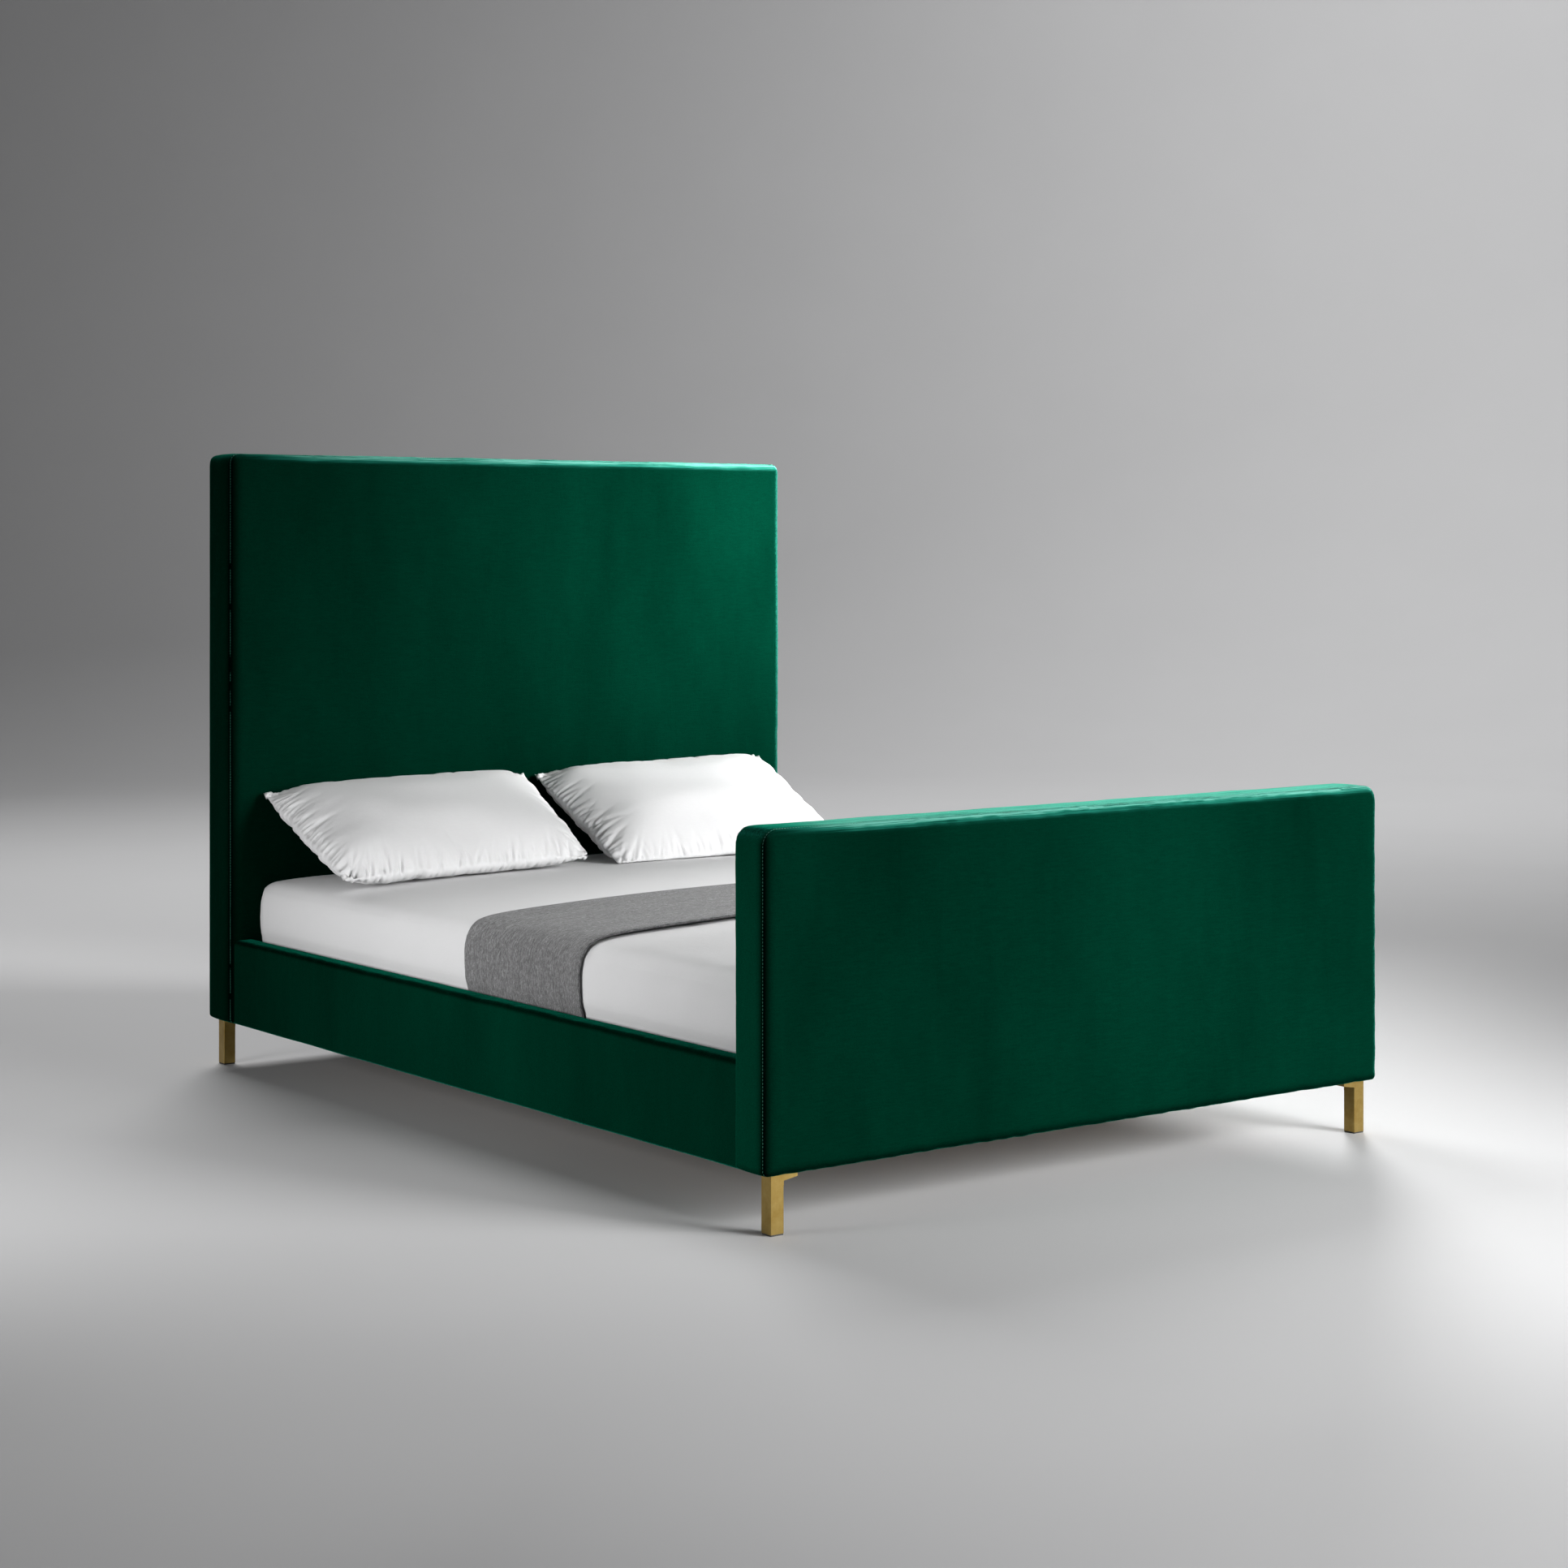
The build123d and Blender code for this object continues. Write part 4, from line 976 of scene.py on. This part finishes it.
def pillow(lie, material):
    """A filled pillow that leans on the headboard and rests on the sheet."""
    piece = sewn_bag(lie.name, material, lie.seed)
    low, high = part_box(lie.node)
    inflate(piece, lie.pressure)
    smooth_filling(piece)
    modify(piece, "SUBSURF", levels=1, render_levels=1)
    places = panel_places(piece)
    points = read_points(piece)
    fill = np.abs(points[:, 2]) / np.abs(points[:, 2]).max()
    length = (high.x - low.x) * PILLOW_SHARE
    width = (high.y - low.y) / math.cos(math.radians(lie.lean))
    points[:, 0], points[:, 1] = lay_straight(places, length, width, lie.seed + 9)
    points[:, 0] *= 1 + lie.taper * points[:, 1] / width
    points[:, 0] += lie.skew * points[:, 1]
    points[:, 2] = filled_section(places, fill, length, width)
    points[:, 2] += ripples(points, 0.0030, 0.22, lie.seed + 5) * (1 - np.abs(places[:, :2]).max(1) ** 4)
    set_points(piece, points)
    push_out(piece, pillow_puckers(places, lie.seed))
    points = read_points(piece) @ (rotation("X", lie.lean) @ rotation("Y", lie.roll)).T
    centre = (low + high) / 2
    points += (centre.x + lie.shift, centre.y, SHEET_TOP + PILLOW_CENTRE_RISE)
    floor = sheet_height(points[:, 0], points[:, 1]) + PILLOW_GAP
    points[:, 2] = floor + above_zero(points[:, 2] - floor, 0.004)
    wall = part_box("headboard_cover")[0].y - HEADBOARD_CLEARANCE
    points[:, 1] = wall - above_zero(wall - points[:, 1], 0.006)
    set_points(piece, points)
    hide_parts(lie.node)
    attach(piece, lie.node)


# --- Slat straps ---


def strap_staples(name, x, z, middles, material):
    """A pair of staples through a strap into each slat."""
    points, faces = [], []
    for middle in middles:
        for offset in (-STRAP_STAPLE_OFFSET, STRAP_STAPLE_OFFSET):
            add_capsule(points, faces, (x + offset, middle, z), (1, 0.35, 0), STAPLE_WIDTH, STAPLE_WIRE)
    piece = make_mesh(name, points, faces, material)
    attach(piece, "bed_frame")


def slat_straps(material, metal):
    """Two webbing straps stapled under the slats, sagging a little between them."""
    slats = sorted(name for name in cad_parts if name.startswith("slat_") and name[5:].isdigit())
    middles = sorted((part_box(name)[0].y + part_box(name)[1].y) / 2 for name in slats)
    slat_low, slat_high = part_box(slats[0])
    half_slat = (slat_high.y - slat_low.y) / 2
    low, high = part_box("slat_straps")
    offsets = np.linspace(-STRAP_WIDTH / 2, STRAP_WIDTH / 2, 9)
    stations = []
    for y in np.arange(low.y, high.y + 0.001, STRAP_STEP):
        nearest = min(abs(y - middle) for middle in middles)
        free = float(fade(nearest, half_slat - 0.012, 0.0915))
        stations.append((float(y), slat_low.z - 0.0003 - STRAP_SAG * free))
    for side, x in (("left", low.x + STRAP_WIDTH / 2), ("right", high.x - STRAP_WIDTH / 2)):
        points = [(x + offset, y, z) for y, z in stations for offset in offsets]
        faces = grid_faces(len(offsets) - 1, len(stations) - 1)
        piece = make_mesh(f"slat_strap_{side}", points, faces, material)
        thicken(piece, STRAP_THICK)
        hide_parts("slat_straps")
        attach(piece, "bed_frame")
        strap_staples(f"slat_strap_{side}_staples", x, slat_low.z - 1.5 * STRAP_THICK, middles, metal)


# --- Materials ---


class Look:
    """A procedural material in the making, with a short call for each kind of node."""

    def __init__(self, name):
        self.material = bpy.data.materials.new(name)
        self.material.use_nodes = True
        self.tree = self.material.node_tree

    def feed(self, socket, value):
        """Links a value to an input, or sets it there."""
        if isinstance(value, bpy.types.NodeSocket):
            self.tree.links.new(value, socket)
        elif socket.type == "RGBA":
            socket.default_value = (*value, 1.0)
        else:
            socket.default_value = value

    def node(self, kind, output, inputs, **settings):
        """The output of a new node with its settings made and its inputs fed."""
        node = self.tree.nodes.new(f"ShaderNode{kind}")
        for name, value in settings.items():
            setattr(node, name, value)
        for key, value in inputs.items():
            self.feed(node.inputs[key], value)
        return node.outputs[output]

    def attribute(self, name, output="Fac"):
        """A value stored on the mesh's points."""
        return self.node("Attribute", output, {}, attribute_name=name)

    def place(self, stretch=(1, 1, 1), turn=(0, 0, 0), stored=None):
        """The surface point in the piece's own axes, or in stored ones, scaled and turned."""
        source = self.attribute(stored, "Vector") if stored else self.node("TexCoord", "Object", {})
        inputs = {"Vector": source, "Scale": stretch, "Rotation": tuple(map(math.radians, turn))}
        return self.node("Mapping", "Vector", inputs)

    def noise(self, scale, detail, rough=0.5, distortion=0.0, **place):
        """A noise value from 0 to 1."""
        inputs = {"Scale": scale, "Detail": detail, "Roughness": rough, "Distortion": distortion}
        return self.node("TexNoise", "Fac", {"Vector": self.place(**place), **inputs})

    def bands(self, scale, direction, distortion=0.0, **place):
        """Even stripes from 0 to 1 across one axis."""
        inputs = {"Scale": scale, "Distortion": distortion, "Detail": 2.0, "Detail Scale": 2.0}
        inputs["Vector"] = self.place(**place)
        return self.node("TexWave", "Fac", inputs, bands_direction=direction)

    def dots(self, scale):
        """Distance from the nearest of scattered points."""
        return self.node("TexVoronoi", "Distance", {"Vector": self.place(), "Scale": scale})

    def ramp(self, value, stops):
        """A colour for a value, from (position, colour) stops."""
        output = self.node("ValToRGB", "Color", {"Fac": value})
        elements = output.node.color_ramp.elements
        for index, (position, color) in enumerate(stops):
            element = elements[index] if index < 2 else elements.new(position)
            element.position = position
            element.color = (*color, 1.0)
        return output

    def arithmetic(self, operation, first, second):
        """One arithmetic step."""
        return self.node("Math", "Value", {0: first, 1: second}, operation=operation)

    def plus(self, first, second):
        """A sum."""
        return self.arithmetic("ADD", first, second)

    def times(self, first, second):
        """A product."""
        return self.arithmetic("MULTIPLY", first, second)

    def spread(self, value, low, high):
        """A 0 to 1 value stretched to run from low to high."""
        return self.node("MapRange", "Result", {"Value": value, "To Min": low, "To Max": high})

    def tint(self, color, value, low, high):
        """A colour made darker or lighter by a 0 to 1 value."""
        shade = self.spread(value, low, high)
        return self.node("VectorMath", "Vector", {0: color, 3: shade}, operation="SCALE")

    def blend(self, share, first, second):
        """A colour between two colours."""
        return self.node("Mix", 2, {"Factor": share, 6: first, 7: second}, data_type="RGBA")

    def bump(self, height, distance, strength=1.0, before=None):
        """A bump from a height of 0 to 1 times a distance in metres, on top of the bump before it."""
        inputs = {"Height": height, "Distance": distance, "Strength": strength}
        if before is not None:
            inputs["Normal"] = before
        return self.node("Bump", "Normal", inputs)

    def finish(self, color, rough, normal=None, **constants):
        """Feeds the shader and gives the material. A constant's name is its socket's, in lower case."""
        inputs = self.tree.nodes["Principled BSDF"].inputs
        self.feed(inputs["Base Color"], color)
        self.feed(inputs["Roughness"], rough)
        if normal is not None:
            self.feed(inputs["Normal"], normal)
        for name, value in constants.items():
            self.feed(inputs[name.replace("_", " ").title().replace("Ior", "IOR")], value)
        return self.material


def velvet_material():
    """Deep green velvet: nap in patches and strokes, a fine pile, a painted highlight on slanted rims and
    where the mesh stores one, and the mesh's stored painted lighting.
    """
    look = Look("velvet")
    patches = look.noise(2.6, 3, 0.5, 0.3, stretch=(1, 1, 0.45))
    strokes = look.noise(22, 4, 0.6, 0.6, stretch=(1, 1, 0.25))
    pile = look.noise(520, 3, 0.7)
    threads = look.noise(330, 2, 0.6, stretch=(0.12, 1, 1))
    highlight_streaks = look.noise(420, 3, 0.7, stretch=(0.010, 1, 1))
    green = look.ramp(look.plus(look.times(patches, 0.82), look.times(strokes, 0.18)), VELVET_GREEN)
    green = look.tint(look.tint(green, pile, 0.55, 1.45), threads, 0.75, 1.25)
    # A painted highlight on rims seen at a slant, added to the stored painted highlight lift and broken
    # into streaks
    slanted = look.node("LayerWeight", "Facing", {"Blend": 0.5})
    painted_rim = look.times(look.arithmetic("POWER", slanted, VELVET_PAINTED_RIM_POWER), VELVET_PAINTED_RIM)
    painted_highlight = look.times(look.plus(painted_rim, look.attribute("lift")), look.spread(highlight_streaks, -0.9, 2.5))
    green = look.blend(look.times(painted_highlight, 6.0), green, look.ramp(painted_highlight, VELVET_PAINTED_HIGHLIGHT))
    # The stored pile darkens and lightens the velvet as painted lighting
    green = look.tint(green, look.attribute("pile"), 0.0, PAINTED_SHADING_RANGE)
    normal = look.bump(strokes, 0.0012)
    normal = look.bump(threads, 0.0005, before=normal)
    normal = look.bump(pile, 0.0006, before=normal)
    return look.finish(
        green, look.spread(patches, 0.62, 0.82), normal,
        sheen_weight=0.25, sheen_roughness=0.25, sheen_tint=VELVET_SHEEN, ior=1.35, specular_ior_level=0.0,
    )


def cotton_material(name, color, shade, rough, sheen):
    """Plain woven cotton: fine crossed threads and a little unevenness of tone."""
    look = Look(name)
    across, along, up = (look.bands(1 / 0.0030, axis, 0.6) for axis in "XYZ")
    weave = look.plus(look.times(across, along), look.times(up, 0.5))
    slubs = look.noise(60, 3, 0.6, stretch=(1, 6, 6))
    clouds = look.noise(5, 3, 0.5)
    crumples = look.noise(26, 3, 0.6, 0.8, stretch=(1, 1, 0.6))
    cloth = look.tint(look.blend(clouds, shade, color), slubs, 0.97, 1.03)
    normal = look.bump(crumples, 0.0016, 0.5)
    normal = look.bump(slubs, 0.0003, 0.6, before=normal)
    normal = look.bump(weave, 0.00012, 0.6, before=normal)
    roughness = look.spread(clouds, rough - 0.05, rough + 0.05)
    return look.finish(cloth, roughness, normal, sheen_weight=sheen, sheen_roughness=0.45)


def throw_material():
    """Melange weave: grey yarns with light and dark flecks that run along the yarn."""
    look = Look("throw_weave")
    yarns = look.bands(1 / 0.0110, "Y", 1.2, stored="cloth_place")
    picks = look.bands(1 / 0.0070, "X", 1.5, stored="cloth_place")
    flecks = look.noise(420, 3, 0.75, stretch=(0.30, 1.4, 1), stored="cloth_place")
    specks = look.noise(900, 2, 0.7, stretch=(1, 1.2, 1), stored="cloth_place")
    streaks = look.noise(120, 3, 0.6, stretch=(0.05, 1, 1), stored="cloth_place")
    mixed = look.plus(look.times(flecks, 0.6), look.times(specks, 0.4))
    grey = look.tint(look.ramp(mixed, THROW_GREYS), streaks, 0.72, 1.28)
    normal = look.bump(look.times(yarns, picks), 0.0010)
    normal = look.bump(mixed, 0.0012, before=normal)
    return look.finish(grey, look.spread(mixed, 0.80, 0.95), normal, sheen_weight=0.15)


def brushed_metal(name, color, dark, rough, stretch):
    """Satin metal with fine brush marks, duller along rubbed patches."""
    look = Look(name)
    brush = look.noise(900, 3, 0.6, stretch=stretch)
    tarnish = look.noise(38, 4, 0.6)
    tone = look.tint(look.blend(look.spread(tarnish, -0.35, 1.35), dark, color), brush, 0.92, 1.08)
    roughness = look.spread(tarnish, rough + 0.12, rough - 0.04)
    return look.finish(tone, roughness, look.bump(brush, 0.00010, 0.7), metallic=1.0)


def coated_metal(name, color, rough):
    """Powder-coated steel with a fine orange peel."""
    look = Look(name)
    peel = look.noise(700, 2, 0.5)
    wear = look.noise(24, 4, 0.6)
    tone = look.tint(look.blend(wear, color, tuple(1.7 * part for part in color)), peel, 0.9, 1.1)
    return look.finish(tone, look.spread(wear, rough - 0.06, rough + 0.10), look.bump(peel, 0.0002, 0.8))


def timber_material(name, light, dark, grain, rings=28):
    """Sawn timber with its grain along one axis."""
    look = Look(name)
    stretch = tuple(0.06 if axis == grain else 1.0 for axis in "XYZ")
    fibres = look.noise(260, 4, 0.65, stretch=stretch)
    figure = look.noise(rings, 3, 0.5, 1.6, stretch=stretch)
    between = tuple((a + b) / 2 for a, b in zip(light, dark))
    tone = look.tint(look.ramp(figure, ((0.30, light), (0.52, between), (0.72, dark))), fibres, 0.78, 1.20)
    return look.finish(tone, look.spread(fibres, 0.62, 0.78), look.bump(fibres, 0.0003, 0.7))


def plastic_material():
    """Black moulded plastic with a fine grained surface."""
    look = Look("black_plastic")
    grain = look.noise(1400, 2, 0.5)
    scuffs = look.noise(60, 4, 0.7)
    tone = look.blend(scuffs, (0.012, 0.012, 0.013), (0.030, 0.030, 0.031))
    return look.finish(tone, look.spread(scuffs, 0.42, 0.60), look.bump(grain, 0.00015, 0.8))


def dust_cloth_material():
    """Black bonded cloth with its pattern of small pressed dots."""
    look = Look("dust_cloth")
    dots = look.dots(420)
    fibres = look.noise(240, 5, 0.75, 1.0)
    tone = look.tint(look.blend(fibres, (0.010, 0.010, 0.011), (0.040, 0.040, 0.042)), dots, 0.6, 1.6)
    normal = look.bump(look.plus(dots, fibres), 0.0003, 0.8)
    return look.finish(tone, look.spread(fibres, 0.80, 0.95), normal)


def webbing_material():
    """Dark woven webbing with a slanted rib."""
    look = Look("webbing")
    ribs = look.bands(110, "X", 0.4, turn=(0, 0, 35))
    threads = look.bands(420, "Y", 0.8)
    tone = look.blend(ribs, (0.020, 0.020, 0.021), (0.085, 0.085, 0.088))
    height = look.plus(ribs, look.times(threads, 0.4))
    return look.finish(tone, look.spread(threads, 0.75, 0.90), look.bump(height, 0.0004, 0.8))


def ticking_material():
    """The mattress's knitted ticking with a small raised diamond."""
    look = Look("ticking")
    diamonds = look.times(*(look.bands(12, "X", 0.3, turn=(0, 0, degrees)) for degrees in (45, -45)))
    knit = look.noise(700, 2, 0.6, stretch=(1, 2, 2))
    tone = look.tint(look.blend(diamonds, (0.60, 0.60, 0.58), (0.78, 0.78, 0.77)), knit, 0.9, 1.1)
    normal = look.bump(knit, 0.0003, 0.8, before=look.bump(diamonds, 0.0020, 0.7))
    return look.finish(tone, look.spread(knit, 0.75, 0.90), normal)


def thread_material():
    """Dark green sewing thread with its twist."""
    look = Look("thread")
    twist = look.bands(900, "X", turn=(30, 30, 0))
    tone = look.blend(twist, (0.020, 0.160, 0.105), (0.060, 0.300, 0.210))
    return look.finish(tone, look.spread(twist, 0.50, 0.70), look.bump(twist, 0.0001, 0.6))


def cad_materials():
    """The materials that CAD_LOOKS names."""
    materials = {
        "plywood": timber_material("plywood", (0.58, 0.43, 0.26), (0.42, 0.28, 0.15), "Z", 14),
        "slat_timber": timber_material("slat_timber", (0.70, 0.55, 0.36), (0.54, 0.38, 0.21), "X", 22),
        "black_steel": coated_metal("black_steel", (0.020, 0.020, 0.021), 0.40),
        "zinc_steel": brushed_metal("zinc_steel", (0.55, 0.55, 0.57), (0.34, 0.34, 0.35), 0.38, (1, 1, 1)),
        "black_plastic": plastic_material(),
        "brass": brushed_metal("brass", (0.41, 0.295, 0.100), (0.26, 0.165, 0.038), 0.30, (1, 1, 0.03)),
    }
    for axis in "XYZ":
        name = f"timber_{axis.lower()}"
        materials[name] = timber_material(f"frame_{name}", *FRAME_TIMBER, axis)
    return materials


def finish_cad_nodes(materials):
    """Gives every CAD node that still shows its procedural material."""
    for name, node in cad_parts.items():
        if not node.hide_render:
            chosen = next(look for look, words in CAD_LOOKS if any(word in name for word in words))
            node.data.materials.clear()
            node.data.materials.append(materials[chosen])


# --- Stage, lights and camera ---


def make_stage():
    """A plain pale floor that turns up all round, far from the bed, into a plain backdrop."""
    look = Look("stage")
    tone = look.blend(look.noise(1.5, 2), (0.47, 0.47, 0.475), (0.49, 0.49, 0.495))
    profile = [(STAGE_FLAT * share, 0.0) for share in (0.25, 0.5, 0.75)]
    for angle in np.linspace(0, math.pi / 2, 17):
        profile.append((STAGE_FLAT + STAGE_CURVE * math.sin(angle), STAGE_CURVE * (1 - math.cos(angle))))
    profile.append((STAGE_FLAT + STAGE_CURVE, STAGE_HEIGHT))
    points = [(0, 0, 0)]
    for reach, height in profile:
        for index in range(STAGE_SIDES):
            angle = 2 * math.pi * index / STAGE_SIDES
            points.append((reach * math.cos(angle), reach * math.sin(angle), height))
    faces = [(0, 1 + index, 1 + (index + 1) % STAGE_SIDES) for index in range(STAGE_SIDES)]
    rings = [list(range(first, first + STAGE_SIDES)) for first in range(1, len(points), STAGE_SIDES)]
    for inner, outer in zip(rings, rings[1:]):
        faces += bridge(inner, outer)
    make_mesh("stage", points, faces, look.finish(tone, 0.80))


def soft_light(name, place, aim, size, power, spread_angle):
    """A square softbox that points at aim, and lights a cone of the spread angle."""
    lamp = bpy.data.lights.new(name, "AREA")
    lamp.shape = "SQUARE"
    lamp.size = size
    lamp.energy = power
    lamp.spread = math.radians(spread_angle)
    light = bpy.data.objects.new(name, lamp)
    light.location = place
    light.rotation_euler = (Vector(aim) - Vector(place)).to_track_quat("-Z", "Y").to_euler()
    light.visible_camera = False
    bpy.context.scene.collection.objects.link(light)


def light_the_studio():
    """The softboxes, a faint even sky, and plain colour handling."""
    for softbox in SOFTBOXES:
        soft_light(*softbox)
    world = bpy.data.worlds.new("studio")
    world.use_nodes = True
    sky = world.node_tree.nodes["Background"]
    sky.inputs["Color"].default_value = SKY_COLOR
    sky.inputs["Strength"].default_value = SKY_STRENGTH
    bpy.context.scene.world = world
    bpy.context.scene.view_settings.view_transform = "Standard"


def make_camera():
    """The level camera at the front left corner."""
    data = bpy.data.cameras.new("camera")
    data.lens = CAMERA_LENS
    data.shift_y = CAMERA_SHIFT
    data.clip_end = 200
    camera = bpy.data.objects.new("camera", data)
    camera.location = CAMERA_PLACE
    camera.rotation_euler = (math.radians(90), 0, math.radians(CAMERA_TURN))
    bpy.context.scene.collection.objects.link(camera)
    bpy.context.scene.camera = camera


def main():
    """Builds every piece, its materials, the lights and the camera."""
    materials = cad_materials()
    velvet = velvet_material()
    thread = thread_material()
    for board in (HEADBOARD, FOOTBOARD):
        velvet_board(board, velvet)
    for board in (HEADBOARD, FOOTBOARD):
        board_stitching(board, thread)
    velvet_rail("left", -1, 61, velvet)
    velvet_rail("right", 1, 65, velvet)
    dust_cloth(dust_cloth_material())
    dust_cloth_staples(materials["zinc_steel"])
    mattress(ticking_material())
    fitted_sheet(cotton_material("sheet_cotton", (0.74, 0.74, 0.745), (0.71, 0.71, 0.715), 0.80, 0.1))
    bed_throw(throw_material())
    pillow_cotton = cotton_material("pillow_cotton", (0.735, 0.735, 0.74), (0.705, 0.705, 0.71), 0.50, 0.2)
    for lie in PILLOWS:
        pillow(lie, pillow_cotton)
    slat_straps(webbing_material(), materials["zinc_steel"])
    finish_cad_nodes(materials)
    make_stage()
    light_the_studio()
    make_camera()


main()
